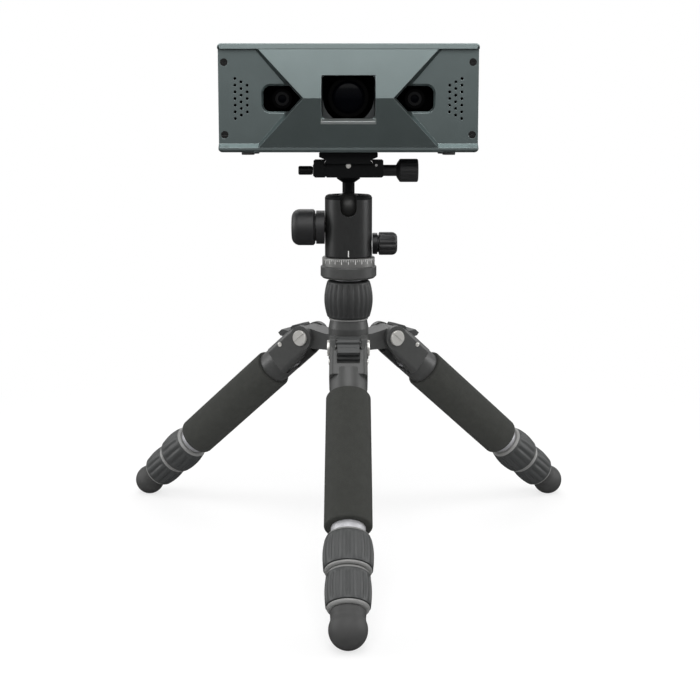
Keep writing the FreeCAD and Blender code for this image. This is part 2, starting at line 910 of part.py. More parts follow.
def main_lock_knob():
    centre = V(0, 0, main_knob_z)
    collar_start = housing_radius + moving_gap
    collar_end = collar_start + main_collar_width
    head_start = collar_end + main_groove_width
    knob = turned([
        (0, main_screw_tip),
        (main_screw_radius, main_screw_tip),
        (main_screw_radius, collar_start),
        (main_collar_radius, collar_start),
        (main_collar_radius, collar_end),
        (main_groove_radius, collar_end),
        (main_groove_radius, head_start),
        (main_knob_radius - main_knob_edge, head_start),
        (main_knob_radius, head_start + main_knob_edge),
        (main_knob_radius, main_knob_reach),
        (0, main_knob_reach),
    ], centre, -X)
    return rounded_rim(knob, main_knob_radius, main_knob_dome, centre, -X, main_knob_reach)


def pan_lock_knob():
    centre = V(0, 0, pan_knob_z)
    collar_start = housing_radius + moving_gap
    head_start = collar_start + pan_collar_width
    knob = turned([
        (0, pan_screw_tip),
        (pan_screw_radius, pan_screw_tip),
        (pan_screw_radius, collar_start),
        (pan_collar_radius, collar_start),
        (pan_collar_radius, head_start),
        (pan_knob_radius - pan_knob_edge, head_start),
        (pan_knob_radius, head_start + pan_knob_edge),
        (pan_knob_radius, pan_knob_reach),
        (0, pan_knob_reach),
    ], centre, X)
    return rounded_rim(knob, pan_knob_radius, pan_knob_dome, centre, X, pan_knob_reach)


# Quick release

def dovetail_x(z, gap):
    """Half-width of the plate's dovetail at a height, plus a clearance."""
    bottom = clamp_floor_z + moving_gap
    share = (z - bottom) / (clamp_top_z - bottom)
    return plate_tail_half_width + (plate_neck_half_width - plate_tail_half_width) * share + gap


def jaw_split_x():
    return clamp_half_width - clamp_jaw_width


def clamp_body():
    left = -jaw_split_x() + moving_gap
    profile = [
        V(left, 0, clamp_z + clamp_edge_chamfer),
        V(left + clamp_edge_chamfer, 0, clamp_z),
        V(clamp_half_width - clamp_edge_chamfer, 0, clamp_z),
        V(clamp_half_width, 0, clamp_z + clamp_edge_chamfer),
        V(clamp_half_width, 0, clamp_top_z),
        V(dovetail_x(clamp_top_z, moving_gap), 0, clamp_top_z),
        V(dovetail_x(clamp_floor_z, moving_gap), 0, clamp_floor_z),
        V(left, 0, clamp_floor_z),
    ]
    body = prism(profile, Y * (2 * clamp_half_length))
    body.translate(-Y * clamp_half_length)
    axis_point = V(0, 0, clamp_screw_z)
    reach = clamp_half_width + cut_overrun
    body = body.cut(rod(clamp_screw_radius + running_gap, -reach, reach, X, axis_point))
    pin_end = guide_pin_length - jaw_split_x() + 3 * moving_gap
    for side in (-1, 1):
        at = V(0, side * guide_pin_offset, clamp_screw_z)
        body = body.cut(rod(guide_pin_radius + running_gap, -reach, pin_end, X, at))
    body = body.cut(rod(stem_pin_radius + running_gap, clamp_z - cut_overrun,
                        clamp_z + stem_pin_height + face_gap))
    return body


def clamp_jaw():
    inner = -jaw_split_x()
    profile = [
        V(-clamp_half_width, 0, clamp_z + clamp_edge_chamfer),
        V(clamp_edge_chamfer - clamp_half_width, 0, clamp_z),
        V(inner, 0, clamp_z),
        V(inner, 0, clamp_floor_z - moving_gap),
        V(-dovetail_x(clamp_floor_z, moving_gap), 0, clamp_floor_z),
        V(-dovetail_x(clamp_top_z, moving_gap), 0, clamp_top_z),
        V(-clamp_half_width, 0, clamp_top_z),
    ]
    jaw = prism(profile, Y * (2 * clamp_half_length))
    jaw.translate(-Y * clamp_half_length)
    for side in (-1, 1):
        at = V(0, side * guide_pin_offset, clamp_screw_z)
        pin = rod(guide_pin_radius, inner - cut_overrun, inner + guide_pin_length, X, at)
        jaw = jaw.fuse(pin)
    reach = clamp_half_width + cut_overrun
    return jaw.cut(rod(clamp_screw_radius + running_gap, -reach, 0, X,
                       V(0, 0, clamp_screw_z)))


def clamp_knob():
    start = clamp_half_width + moving_gap
    return turned([
        (0, -clamp_screw_tip),
        (clamp_screw_radius, -clamp_screw_tip),
        (clamp_screw_radius, start),
        (knob_boss_radius, start),
        (knob_boss_radius, knob_boss_reach),
        (knob_head_radius - knob_head_edge, knob_flare_reach - knob_head_edge),
        (knob_head_radius, knob_flare_reach),
        (knob_head_radius, knob_head_reach - knob_head_edge),
        (knob_head_radius - knob_head_edge, knob_head_reach),
        (0, knob_head_reach),
    ], V(0, 0, clamp_screw_z), X)


def clamp_nut():
    nut = turned([
        (0, clamp_half_width),
        (nut_shank_radius, clamp_half_width),
        (nut_shank_radius, nut_start),
        (nut_radius, nut_start),
        (nut_radius, nut_reach - nut_edge_chamfer),
        (nut_radius - nut_edge_chamfer, nut_reach),
        (0, nut_reach),
    ], V(0, 0, clamp_screw_z), -X)
    return nut.cut(rod(clamp_screw_radius + running_gap, clamp_half_width - cut_overrun,
                       clamp_screw_tip + moving_gap, -X, V(0, 0, clamp_screw_z)))


def qr_plate():
    bottom = clamp_floor_z + moving_gap
    slab = scanner_z - plate_slab_height
    right = [
        (plate_tail_half_width, bottom),
        (plate_neck_half_width, clamp_top_z),
        (plate_neck_half_width, slab),
        (plate_slab_half_width, slab),
        (plate_slab_half_width, scanner_z - plate_edge_chamfer),
        (plate_slab_half_width - plate_edge_chamfer, scanner_z),
    ]
    left = [(-x, z) for x, z in reversed(right)]
    plate = prism([V(x, -plate_half_length, z) for x, z in right + left],
                  Y * (2 * plate_half_length))
    plate = plate.cut(rod(plate_screw_radius, bottom - cut_overrun, scanner_z + cut_overrun))
    return plate.cut(rod(plate_screw_head_radius, bottom - cut_overrun,
                         bottom + plate_screw_head_height))


def plate_screw():
    bottom = clamp_floor_z + moving_gap
    head = rod(plate_screw_head_radius, bottom, bottom + plate_screw_head_height)
    shank = rod(plate_screw_radius, bottom, scanner_z + plate_screw_reach)
    reach = plate_screw_head_radius + cut_overrun
    slot = block(-reach, reach, -plate_screw_slot_half_width, plate_screw_slot_half_width,
                 bottom - cut_overrun, bottom + plate_screw_slot_depth)
    return head.fuse(shank).cut(slot).removeSplitter()


# Scanner casing

def screw_points(y):
    points = []
    for x in (-screw_half_spacing, screw_half_spacing):
        for dz in (-screw_above_centre, screw_above_centre):
            points.append(V(x, y, face_z + dz))
    return points


def casing_block(y0, y1):
    return rounded_block(-scanner_half_width, scanner_half_width, y0, y1,
                         scanner_z, scanner_top_z, scanner_corner_radius, Y)


def casing_cavity(y0, y1):
    inner = scanner_half_width - scanner_wall
    return block(-inner, inner, y0, y1, scanner_z + scanner_wall, scanner_top_z - scanner_wall)


def wedge():
    """Bow-tie shaped centre of the front: two sloping facets that meet at a ridge."""
    bottom = scanner_z
    top = scanner_top_z - top_lip_height / 4
    reach = wedge_top_half_width + wedge_top_draft
    profile = [
        V(-reach, cover_floor_y, bottom),
        V(-reach, wedge_edge_y, bottom),
        V(-reach, wedge_ridge_y, face_z),
        V(-reach, wedge_edge_y, top),
        V(-reach, cover_floor_y, top),
    ]
    body = prism(profile, X * (2 * reach))
    return body.cut(wedge_side(1)).cut(wedge_side(-1))


def recess_outline(side, y, ridge_x):
    """Outline of one side recess where its inner edge stands at ridge_x at mid-height."""
    outer = scanner_half_width + cut_overrun
    low = scanner_z - cut_overrun
    high = scanner_top_z + cut_overrun
    slope = (wedge_top_half_width - wedge_ridge_half_width) / (scanner_height / 2)
    return polygon([
        V(side * outer, y, low),
        V(side * (ridge_x + slope * (face_z - low)), y, low),
        V(side * ridge_x, y, face_z),
        V(side * (ridge_x + slope * (high - face_z)), y, high),
        V(side * outer, y, high),
    ])


def wedge_side(side):
    """Drafted cutter for one side recess, between the floor and past the ridge."""
    depth = cover_floor_y - wedge_ridge_y
    floor_wire = recess_outline(side, cover_floor_y, wedge_ridge_half_width)
    front_x = wedge_ridge_half_width - wedge_ridge_draft * wedge_cutter_share
    front_wire = recess_outline(side, cover_floor_y - wedge_cutter_share * depth, front_x)
    return Part.makeLoft([floor_wire, front_wire], True, True)


def camera_well_wire(side, y, offset):
    outer = side * (camera_well_outer + offset)
    inner = side * (camera_well_inner - offset)
    knee = side * (camera_well_inner + camera_well_point - offset)
    half = camera_well_half_height + offset
    corner = camera_well_corner_radius + offset
    shift = side * corner
    slant = corner * math.sqrt(0.5)
    points = [
        V(knee, y, face_z + half),
        V(inner, y, face_z),
        V(knee, y, face_z - half),
        V(outer - shift, y, face_z - half),
        V(outer, y, face_z - half + corner),
        V(outer, y, face_z + half - corner),
        V(outer - shift, y, face_z + half),
    ]
    mid_low = V(outer - shift + side * slant, y, face_z - half + corner - slant)
    mid_high = V(outer - shift + side * slant, y, face_z + half - corner + slant)
    edges = [
        Part.makeLine(points[0], points[1]),
        Part.makeLine(points[1], points[2]),
        Part.makeLine(points[2], points[3]),
        Part.Arc(points[3], mid_low, points[4]).toShape(),
        Part.makeLine(points[4], points[5]),
        Part.Arc(points[5], mid_high, points[6]).toShape(),
        Part.makeLine(points[6], points[0]),
    ]
    return Part.Wire(edges)


def camera_well(side):
    front = wedge_ridge_y - cut_overrun
    rear = cover_joint_y + cut_overrun
    hole = Part.Face(camera_well_wire(side, front, 0)).extrude(Y * (rear - front))
    floor_wire = camera_well_wire(side, cover_floor_y + camera_well_chamfer, 0)
    face_wire = camera_well_wire(side, cover_floor_y, camera_well_chamfer)
    bevel = Part.makeLoft([floor_wire, face_wire], True, True)
    recess = recess_outline(side, front, wedge_ridge_half_width)
    bevel = bevel.common(Part.Face(recess).extrude(Y * (rear - front)))
    return hole.fuse(bevel)


def projector_well():
    front = wedge_ridge_y - cut_overrun
    rear = cover_joint_y + cut_overrun
    low = projector_z - projector_half_height
    high = projector_z + projector_half_height
    wire = rounded_rectangle(-projector_half_width, projector_half_width, low, high,
                             projector_corner_radius, front)
    hole = Part.Face(wire).extrude(Y * (rear - front))
    seat_wire = polygon([
        V(-projector_half_width, projector_seat_y, low),
        V(projector_half_width, projector_seat_y, low),
        V(projector_half_width, projector_seat_y, high),
        V(-projector_half_width, projector_seat_y, high),
    ])
    wide = projector_half_width + projector_side_chamfer
    face_wire = polygon([
        V(-wide, front, low - projector_bottom_chamfer),
        V(wide, front, low - projector_bottom_chamfer),
        V(wide, front, high),
        V(-wide, front, high),
    ])
    return hole.fuse(Part.makeLoft([seat_wire, face_wire], True, True))


def vent_holes():
    holes = []
    for side in (-1, 1):
        for column, count in enumerate(vent_counts):
            x = scanner_half_width - vent_side_inset - column * vent_column_pitch
            for row in range(count):
                z = face_z + (row - (count - 1) / 2) * vent_pitch
                at = V(side * x, 0, z)
                holes.append(rod(vent_radius, cover_floor_y - cut_overrun,
                                 cover_joint_y, Y, at))
    return Part.makeCompound(holes)


def lips():
    """Top and bottom lips in front of the side recesses."""
    left = -scanner_half_width
    top_lip = rounded_block(left, scanner_half_width, lip_front_y, cover_floor_y + cut_overrun,
                            scanner_top_z - top_lip_height, scanner_top_z,
                            lip_edge_radius, X)
    profile = [
        V(left, cover_floor_y + cut_overrun, scanner_z),
        V(left, lip_front_y + lip_edge_radius, scanner_z),
        V(left, lip_front_y, scanner_z + lip_edge_radius),
        V(left, lip_front_y, scanner_z + bottom_lip_height),
        V(left, cover_floor_y, scanner_z + bottom_bevel_height),
        V(left, cover_floor_y + cut_overrun, scanner_z + bottom_bevel_height),
    ]
    return top_lip, prism(profile, X * (2 * scanner_half_width))


def front_cover():
    outer = casing_block(cover_floor_y, cover_joint_y)
    top_lip, bottom_lip = lips()
    shell = outer.fuse(wedge()).fuse(top_lip).fuse(bottom_lip)
    envelope = casing_block(wedge_ridge_y - cut_overrun, cover_joint_y)
    shell = shell.common(envelope)
    shell = shell.cut(casing_cavity(cover_floor_y + scanner_wall, cover_joint_y + cut_overrun))
    for at in screw_points(0):
        shell = shell.fuse(rod(boss_radius, cover_floor_y + scanner_wall / 2,
                               cover_joint_y, Y, at))
    for at in screw_points(0):
        shell = shell.cut(rod(screw_radius, cover_floor_y - cut_overrun,
                              cover_joint_y + cut_overrun, Y, at))
        shell = shell.cut(rod(screw_head_radius, lip_front_y, cover_floor_y + screw_head_sink,
                              Y, at))
    shell = shell.cut(camera_well(-1)).cut(camera_well(1)).cut(projector_well())
    return shell.cut(vent_holes()).removeSplitter()


def main_casing():
    shell = casing_block(cover_joint_y, rear_joint_y)
    shell = shell.cut(casing_cavity(cover_joint_y - cut_overrun, rear_joint_y + cut_overrun))
    for at in screw_points(0):
        shell = shell.fuse(rod(boss_radius, cover_joint_y, cover_joint_y + boss_length, Y, at))
        shell = shell.fuse(rod(boss_radius, rear_joint_y - boss_length, rear_joint_y, Y, at))
    shell = shell.fuse(rod(screw_boss_radius, scanner_z, scanner_z + screw_boss_height))
    shell = shell.cut(rod(plate_screw_radius, scanner_z - cut_overrun,
                          scanner_z + screw_boss_height + cut_overrun))
    for at in screw_points(0):
        depth = boss_length + cut_overrun
        shell = shell.cut(rod(screw_radius, cover_joint_y - cut_overrun,
                              cover_joint_y + depth, Y, at))
        shell = shell.cut(rod(screw_radius, rear_joint_y - depth,
                              rear_joint_y + cut_overrun, Y, at))
    return shell.removeSplitter()


def fan_axis_point():
    return V(fan_x, 0, face_z)


def fan_grille():
    centre = fan_axis_point()
    opening = rod(fan_shroud_radius, rear_joint_y - cut_overrun, rear_face_y + cut_overrun,
                  Y, centre)
    keep = [rod(grille_hub_radius, rear_joint_y, rear_face_y, Y, centre)]
    keep.append(tube(grille_ring_radius + grille_ring_half_width,
                     grille_ring_radius - grille_ring_half_width,
                     rear_joint_y, rear_face_y, Y, centre))
    reach = fan_shroud_radius + fan_shroud_wall
    arm = block(fan_x - reach, fan_x + reach, rear_joint_y, rear_face_y,
                face_z - grille_arm_half_width, face_z + grille_arm_half_width)
    for degrees in (45, 135):
        keep.append(around(arm, centre, Y, degrees))
    return opening, keep


def socket_z():
    return face_z - socket_below_centre


def rear_cover():
    cover = casing_block(rear_joint_y, rear_face_y)
    rims = [e for e in cover.Edges if abs(e.CenterOfMass.y - rear_face_y) < face_gap]
    cover = cover.makeChamfer(rear_corner_chamfer, rims)
    opening, keep = fan_grille()
    cover = cover.cut(opening)
    shroud = tube(fan_shroud_radius + fan_shroud_wall, fan_shroud_radius,
                  fan_shroud_front_y, rear_joint_y + cut_overrun, Y, fan_axis_point())
    pin = rod(fan_pin_radius, fan_pin_front_y, rear_face_y, Y, fan_axis_point())
    cover = fused([cover, shroud, pin] + keep)
    for x, z in board_corners():
        cover = cover.fuse(rod(post_radius, board_front_y + board_thickness,
                               rear_joint_y + cut_overrun, Y, V(x, 0, z)))
    for at in screw_points(0):
        cover = cover.cut(rod(screw_radius, rear_joint_y - cut_overrun,
                              rear_face_y + cut_overrun, Y, at))
        cover = cover.cut(rod(screw_head_radius, rear_face_y - screw_head_sink,
                              rear_face_y + cut_overrun, Y, at))
    y0 = rear_joint_y - cut_overrun
    y1 = rear_face_y + cut_overrun
    cover = cover.cut(block(socket_block_left_x, socket_block_right_x, y0, y1,
                            socket_z() - socket_block_half_height,
                            socket_z() + socket_block_half_height))
    cover = cover.cut(rod(button_radius + moving_gap, y0, y1, Y,
                          V(button_x, 0, face_z - button_below_centre)))
    slots = []
    for i in range(louvre_count):
        z = face_z + louvre_above_centre + i * louvre_pitch
        slots.append(block(louvre_x - louvre_half_length, louvre_x + louvre_half_length, y0, y1,
                           z - louvre_half_height, z + louvre_half_height))
    return cover.cut(Part.makeCompound(slots)).removeSplitter()


def board_corners():
    points = []
    for x in (board_left_x + post_inset, board_right_x - post_inset):
        for z in (face_z - board_half_height + post_inset,
                  face_z + board_half_height - post_inset):
            points.append((x, z))
    return points


def cover_screw(start, direction):
    screw = rod(screw_radius, 0, screw_length, direction, start)
    screw = screw.fuse(rod(screw_head_radius, 0, screw_head_sink, direction, start))
    reach = screw_head_radius + cut_overrun
    y0 = start.y - cut_overrun
    y1 = start.y + direction.y * screw_slot_depth
    if direction.y < 0:
        y0 = start.y + direction.y * screw_slot_depth
        y1 = start.y + cut_overrun
    slot = block(start.x - reach, start.x + reach, y0, y1,
                 start.z - screw_slot_half_width, start.z + screw_slot_half_width)
    return screw.cut(slot).removeSplitter()


def cover_screws():
    front = [cover_screw(at, Y) for at in screw_points(cover_floor_y)]
    rear = [cover_screw(at, -Y) for at in screw_points(rear_face_y)]
    return Part.makeCompound(front + rear)


def scanner_feet():
    feet = []
    for x in (-scanner_foot_x, scanner_foot_x):
        for y in (scanner_foot_front_y, scanner_foot_rear_y):
            feet.append(turned([
                (0, scanner_z - scanner_foot_height),
                (scanner_foot_radius - scanner_foot_chamfer, scanner_z - scanner_foot_height),
                (scanner_foot_radius, scanner_z - scanner_foot_height + scanner_foot_chamfer),
                (scanner_foot_radius, scanner_z),
                (0, scanner_z),
            ], V(x, y, 0)))
    return Part.makeCompound(feet)


# Optics inside the scanner

def optical_bar():
    half = scanner_half_width - scanner_wall
    bar = block(-half, half, optical_bar_front_y, optical_bar_rear_y,
                face_z - optical_bar_half_height, face_z + optical_bar_half_height)
    y0 = optical_bar_front_y - cut_overrun
    y1 = optical_bar_rear_y + cut_overrun
    for side in (-1, 1):
        bar = bar.cut(rod(camera_barrel_radius, y0, y1, Y, V(side * camera_offset, 0, face_z)))
    return bar.cut(rod(projector_barrel_radius, y0, y1, Y, V(0, 0, projector_z)))


def camera_module(side):
    centre = V(side * camera_offset, 0, face_z)
    barrel = rod(camera_barrel_radius, camera_barrel_front_y, camera_box_rear_y, Y, centre)
    half = camera_box_half_size
    box = block(centre.x - half, centre.x + half, optical_bar_rear_y, camera_box_rear_y,
                face_z - half, face_z + half)
    module = barrel.fuse(box)
    bore = rod(camera_barrel_bore_radius, camera_barrel_front_y - cut_overrun,
               camera_barrel_front_y + camera_bore_depth, Y, centre)
    return module.cut(bore).removeSplitter()


def camera_barrels():
    return Part.makeCompound([camera_module(-1), camera_module(1)])


def lens(radius, front_y, thickness, crown, centre):
    """Disc with a domed front; the dome is a cap of a sphere."""
    disc = rod(radius, front_y, front_y + thickness, Y, centre)
    dome_radius = (radius ** 2 + crown ** 2) / (2 * crown)
    dome_centre = V(centre.x, front_y - crown + dome_radius, centre.z)
    dome = Part.makeSphere(dome_radius, dome_centre)
    cap = dome.common(rod(radius, front_y - crown - cut_overrun, front_y, Y, centre))
    return disc.fuse(cap).removeSplitter()


def camera_lenses():
    lenses = []
    for side in (-1, 1):
        centre = V(side * camera_offset, 0, face_z)
        lenses.append(lens(camera_barrel_bore_radius, camera_glass_front_y,
                           camera_glass_thickness, camera_glass_crown, centre))
    return Part.makeCompound(lenses)


def projector_barrel():
    centre = V(0, 0, projector_z)
    barrel = rod(projector_barrel_radius, projector_barrel_front_y, optical_bar_rear_y,
                 Y, centre)
    return barrel.cut(rod(projector_bore_radius, projector_barrel_front_y - cut_overrun,
                          projector_barrel_front_y + projector_bore_depth, Y, centre))


def projector_lens():
    return lens(projector_bore_radius, projector_glass_front_y, projector_glass_thickness,
                projector_glass_crown, V(0, 0, projector_z))


def light_engine():
    y0 = optical_bar_rear_y
    low = projector_z - engine_half_height
    high = projector_z + engine_half_height
    engine = block(-engine_half_width, engine_half_width, y0, engine_rear_y, low, high)
    pitch = (2 * engine_half_width - fin_thickness) / (fin_count - 1)
    fins = []
    for i in range(fin_count):
        x = i * pitch - engine_half_width
        fins.append(block(x, x + fin_thickness, engine_rear_y - cut_overrun, fin_rear_y,
                          low, high))
    return fused([engine] + fins)


def control_board():
    return block(board_left_x, board_right_x, board_front_y, board_front_y + board_thickness,
                 face_z - board_half_height, face_z + board_half_height)


def socket_block():
    """One connector block on the board with a data socket and a power socket."""
    z = socket_z()
    shell = block(socket_block_left_x, socket_block_right_x,
                  board_front_y + board_thickness, rear_face_y,
                  z - socket_block_half_height, z + socket_block_half_height)
    shell = shell.cut(block(usb_centre_x - usb_half_width, usb_centre_x + usb_half_width,
                            rear_face_y - usb_depth, rear_face_y + cut_overrun,
                            z - usb_half_height, z + usb_half_height))
    centre = V(power_centre_x, 0, z)
    floor = rear_face_y - power_bore_depth
    shell = shell.cut(rod(power_bore_radius, floor, rear_face_y + cut_overrun, Y, centre))
    pin = rod(power_pin_radius, floor - cut_overrun, floor + power_pin_length, Y, centre)
    return shell.fuse(pin)


def power_button():
    centre = V(button_x, 0, face_z - button_below_centre)
    return turned([
        (0, button_inner_y),
        (button_flange_radius, button_inner_y),
        (button_flange_radius, button_inner_y + button_flange_thickness),
        (button_radius, button_inner_y + button_flange_thickness),
        (button_radius, rear_face_y + button_stand - plate_edge_chamfer),
        (button_radius - plate_edge_chamfer, rear_face_y + button_stand),
        (0, rear_face_y + button_stand),
    ], centre, Y)


def fan_rotor():
    centre = fan_axis_point()
    rotor = rod(fan_hub_radius, fan_front_y, fan_rear_y, Y, centre)
    blades = []
    for i in range(fan_blade_count):
        blade = block(fan_x + fan_hub_radius - cut_overrun, fan_x + fan_radius,
                      fan_front_y, fan_rear_y,
                      face_z - fan_blade_thickness / 2, face_z + fan_blade_thickness / 2)
        middle = V(fan_x, (fan_front_y + fan_rear_y) / 2, face_z)
        blade = around(blade, middle, X, fan_blade_twist_deg)
        blades.append(around(blade, centre, Y, i * 360 / fan_blade_count))
    rotor = fused([rotor] + blades)
    rotor = rotor.common(rod(fan_radius, fan_front_y, fan_rear_y, Y, centre))
    return rotor.cut(rod(fan_pin_radius + running_gap, fan_bore_front_y,
                         fan_rear_y + cut_overrun, Y, centre))


def all_nodes():
    nodes = {
        "main_casing": main_casing(),
        "front_cover": front_cover(),
        "rear_cover": rear_cover(),
        "cover_screws": cover_screws(),
        "scanner_feet": scanner_feet(),
        "optical_bar": optical_bar(),
        "camera_barrels": camera_barrels(),
        "camera_lenses": camera_lenses(),
        "projector_barrel": projector_barrel(),
        "projector_lens": projector_lens(),
        "light_engine": light_engine(),
        "control_board": control_board(),
        "socket_block": socket_block(),
        "power_button": power_button(),
        "fan_rotor": fan_rotor(),
        "qr_plate": qr_plate(),
        "plate_screw": plate_screw(),
        "clamp_body": clamp_body(),
        "clamp_jaw": clamp_jaw(),
        "clamp_knob": clamp_knob(),
        "clamp_nut": clamp_nut(),
        "ball_stem": ball_stem(),
        "ball": ball(),
        "ball_housing": ball_housing(),
        "housing_bezel": housing_bezel(),
        "main_lock_knob": main_lock_knob(),
        "pan_lock_knob": pan_lock_knob(),
        "pan_ring": pan_ring(),
        "base_plate": base_plate(),
        "center_column": center_column(),
        "column_lock": column_lock(),
        "hub": hub(),
        "leg_bolts": leg_bolts(),
    }
    for name, azimuth_deg in leg_azimuths_deg.items():
        nodes.update(leg_nodes(name, azimuth_deg))
    return nodes


os.makedirs("parts", exist_ok=True)
for node, shape in all_nodes().items():
    moved = shape.copy()
    moved.translate(origin_shift)
    moved.exportStep("parts/" + node + ".step")
    print(node, len(moved.Solids), moved.isValid(), round(moved.Volume))
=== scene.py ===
import json
import math
import bmesh
import bpy
from mathutils import Matrix, Vector


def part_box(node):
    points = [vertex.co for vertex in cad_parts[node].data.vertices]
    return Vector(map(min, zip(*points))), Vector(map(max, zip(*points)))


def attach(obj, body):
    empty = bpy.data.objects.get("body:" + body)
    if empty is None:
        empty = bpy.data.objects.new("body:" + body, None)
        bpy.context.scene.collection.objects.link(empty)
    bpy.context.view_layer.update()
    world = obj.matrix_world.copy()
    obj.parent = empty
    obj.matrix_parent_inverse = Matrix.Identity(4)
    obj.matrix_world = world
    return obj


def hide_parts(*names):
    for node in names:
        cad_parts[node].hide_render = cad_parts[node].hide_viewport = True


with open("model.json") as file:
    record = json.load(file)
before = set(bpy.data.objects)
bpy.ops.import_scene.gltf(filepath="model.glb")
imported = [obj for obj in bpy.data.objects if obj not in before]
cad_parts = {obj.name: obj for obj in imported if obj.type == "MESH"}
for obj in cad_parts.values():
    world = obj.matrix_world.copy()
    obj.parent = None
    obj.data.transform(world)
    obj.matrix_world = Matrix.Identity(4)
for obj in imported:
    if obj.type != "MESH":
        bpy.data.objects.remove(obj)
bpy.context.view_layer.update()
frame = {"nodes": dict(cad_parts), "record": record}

# Desktop 3D scanner on a compact tripod: looks and fine pieces.
# Metres, +Z up, the scanner looks along -Y. Sizes of fine pieces are named in millimetres.

MM = 0.001
joints = {joint["name"]: joint for joint in frame["record"]["behaviour"]["joints"]}
legs = ("front", "right", "left")


# Shader arithmetic

class Signal:
    """A shader socket that takes part in plain arithmetic."""

    def __init__(self, tree, socket):
        self.tree = tree
        self.socket = socket

    def worked(self, operation, first, second):
        made = node(self.tree, "ShaderNodeMath", {"operation": operation},
                    {0: first, 1: second})
        return made["Value"]

    def __add__(self, other):
        return self.worked("ADD", self, other)

    def __radd__(self, other):
        return self.worked("ADD", other, self)

    def __rsub__(self, other):
        return self.worked("SUBTRACT", other, self)

    def __mul__(self, other):
        return self.worked("MULTIPLY", self, other)


def node(tree, kind, settings=None, sockets=None):
    """Add a node: its settings first, then the values or links of its sockets."""
    made = tree.nodes.new(kind)
    for name, value in (settings or {}).items():
        setattr(made, name, value)
    for key, value in (sockets or {}).items():
        if isinstance(value, Signal):
            tree.links.new(value.socket, made.inputs[key])
        else:
            made.inputs[key].default_value = value
    return {out.name: Signal(tree, out) for out in reversed(made.outputs)}


def mixed_colour(tree, share, first, second):
    """Colour between two colours; sockets 6 and 7 are the colour pair of a Mix node."""
    made = tree.nodes.new("ShaderNodeMix")
    made.data_type = "RGBA"
    for index, value in ((0, share), (6, first), (7, second)):
        if isinstance(value, Signal):
            tree.links.new(value.socket, made.inputs[index])
        elif index:
            made.inputs[index].default_value = (*value, 1)
        else:
            made.inputs[index].default_value = value
    return Signal(tree, made.outputs[2])


def grain(tree, size, detail=2.0, stretch=(1, 1, 1)):
    """Noise whose blots are about the given size in metres, stretched along axes."""
    place = node(tree, "ShaderNodeTexCoord")["Object"]
    if stretch != (1, 1, 1):
        place = node(tree, "ShaderNodeMapping", None, {"Vector": place, "Scale": stretch})["Vector"]
    return node(tree, "ShaderNodeTexNoise", None,
                {"Vector": place, "Scale": 1 / size, "Detail": detail, "Roughness": 0.6})["Fac"]


def edge_wear(tree, reach):
    """About 1 on outer edges and corners and 0 on flats."""
    rounded = node(tree, "ShaderNodeBevel", {"samples": 4}, {"Radius": reach})["Normal"]
    plain = node(tree, "ShaderNodeNewGeometry")["Normal"]
    made = node(tree, "ShaderNodeVectorMath", {"operation": "DOT_PRODUCT"},
                {0: rounded, 1: plain})
    return node(tree, "ShaderNodeMath", {"operation": "MULTIPLY", "use_clamp": True},
                {0: 1 - made["Value"], 1: 8.0})["Value"]


def inside_box(tree, low, high):
    """1 between two corners given in metres, 0 outside them."""
    place = node(tree, "ShaderNodeTexCoord")["Object"]
    axes = node(tree, "ShaderNodeSeparateXYZ", None, {0: place})
    share = 1.0
    for axis, start, end in zip("XYZ", low, high):
        for operation, limit in (("GREATER_THAN", start), ("LESS_THAN", end)):
            past = node(tree, "ShaderNodeMath", {"operation": operation},
                        {0: axes[axis], 1: limit})["Value"]
            share = past * share
    return share


def empty_material(name):
    """New material and its node tree, with no nodes in it."""
    material = bpy.data.materials.new(name)
    material.use_nodes = True
    material.node_tree.nodes.clear()
    return material, material.node_tree


def finish(name, colour, roughness, metallic=0.0, tint=0.12, blot=0.004, blot_stretch=(1, 1, 1),
           grit=0.0006, grit_height=0.00002, rough_spread=0.08, worn=None, wear_reach=0.0004,
           constants=None, painted_light_patch=None):
    """Moulded, coated or machined finish with blotchy tone, grit and worn edges.

    A painted patch of light is a low corner, a high corner and the colour painted between them.
    """
    material, tree = empty_material(name)
    blots = grain(tree, blot, 3.0, blot_stretch)
    bumps = grain(tree, grit, 2.0, blot_stretch)
    light = tuple(channel * (1 + tint) for channel in colour)
    dark = tuple(channel * (1 - tint) for channel in colour)
    tone = mixed_colour(tree, blots, dark, light)
    normal = None
    if worn:
        tone = mixed_colour(tree, edge_wear(tree, wear_reach) * (0.35 + blots), tone, worn)
        normal = node(tree, "ShaderNodeBevel", {"samples": 4}, {"Radius": wear_reach})["Normal"]
    # Paints a box of light into the tone: here a painted highlight.
    if painted_light_patch:
        tone = mixed_colour(tree, inside_box(tree, painted_light_patch[0], painted_light_patch[1]), tone, painted_light_patch[2])
    sockets = {"Strength": 1.0, "Distance": grit_height, "Height": bumps}
    if normal:
        sockets["Normal"] = normal
    bump = node(tree, "ShaderNodeBump", None, sockets)["Normal"]
    rough = roughness - rough_spread / 2 + blots * rough_spread
    values = {"Base Color": tone, "Roughness": rough, "Metallic": metallic, "Normal": bump}
    values.update(constants or {})
    shader = node(tree, "ShaderNodeBsdfPrincipled", None, values)["BSDF"]
    node(tree, "ShaderNodeOutputMaterial", None, {"Surface": shader})
    return material


# Finishes

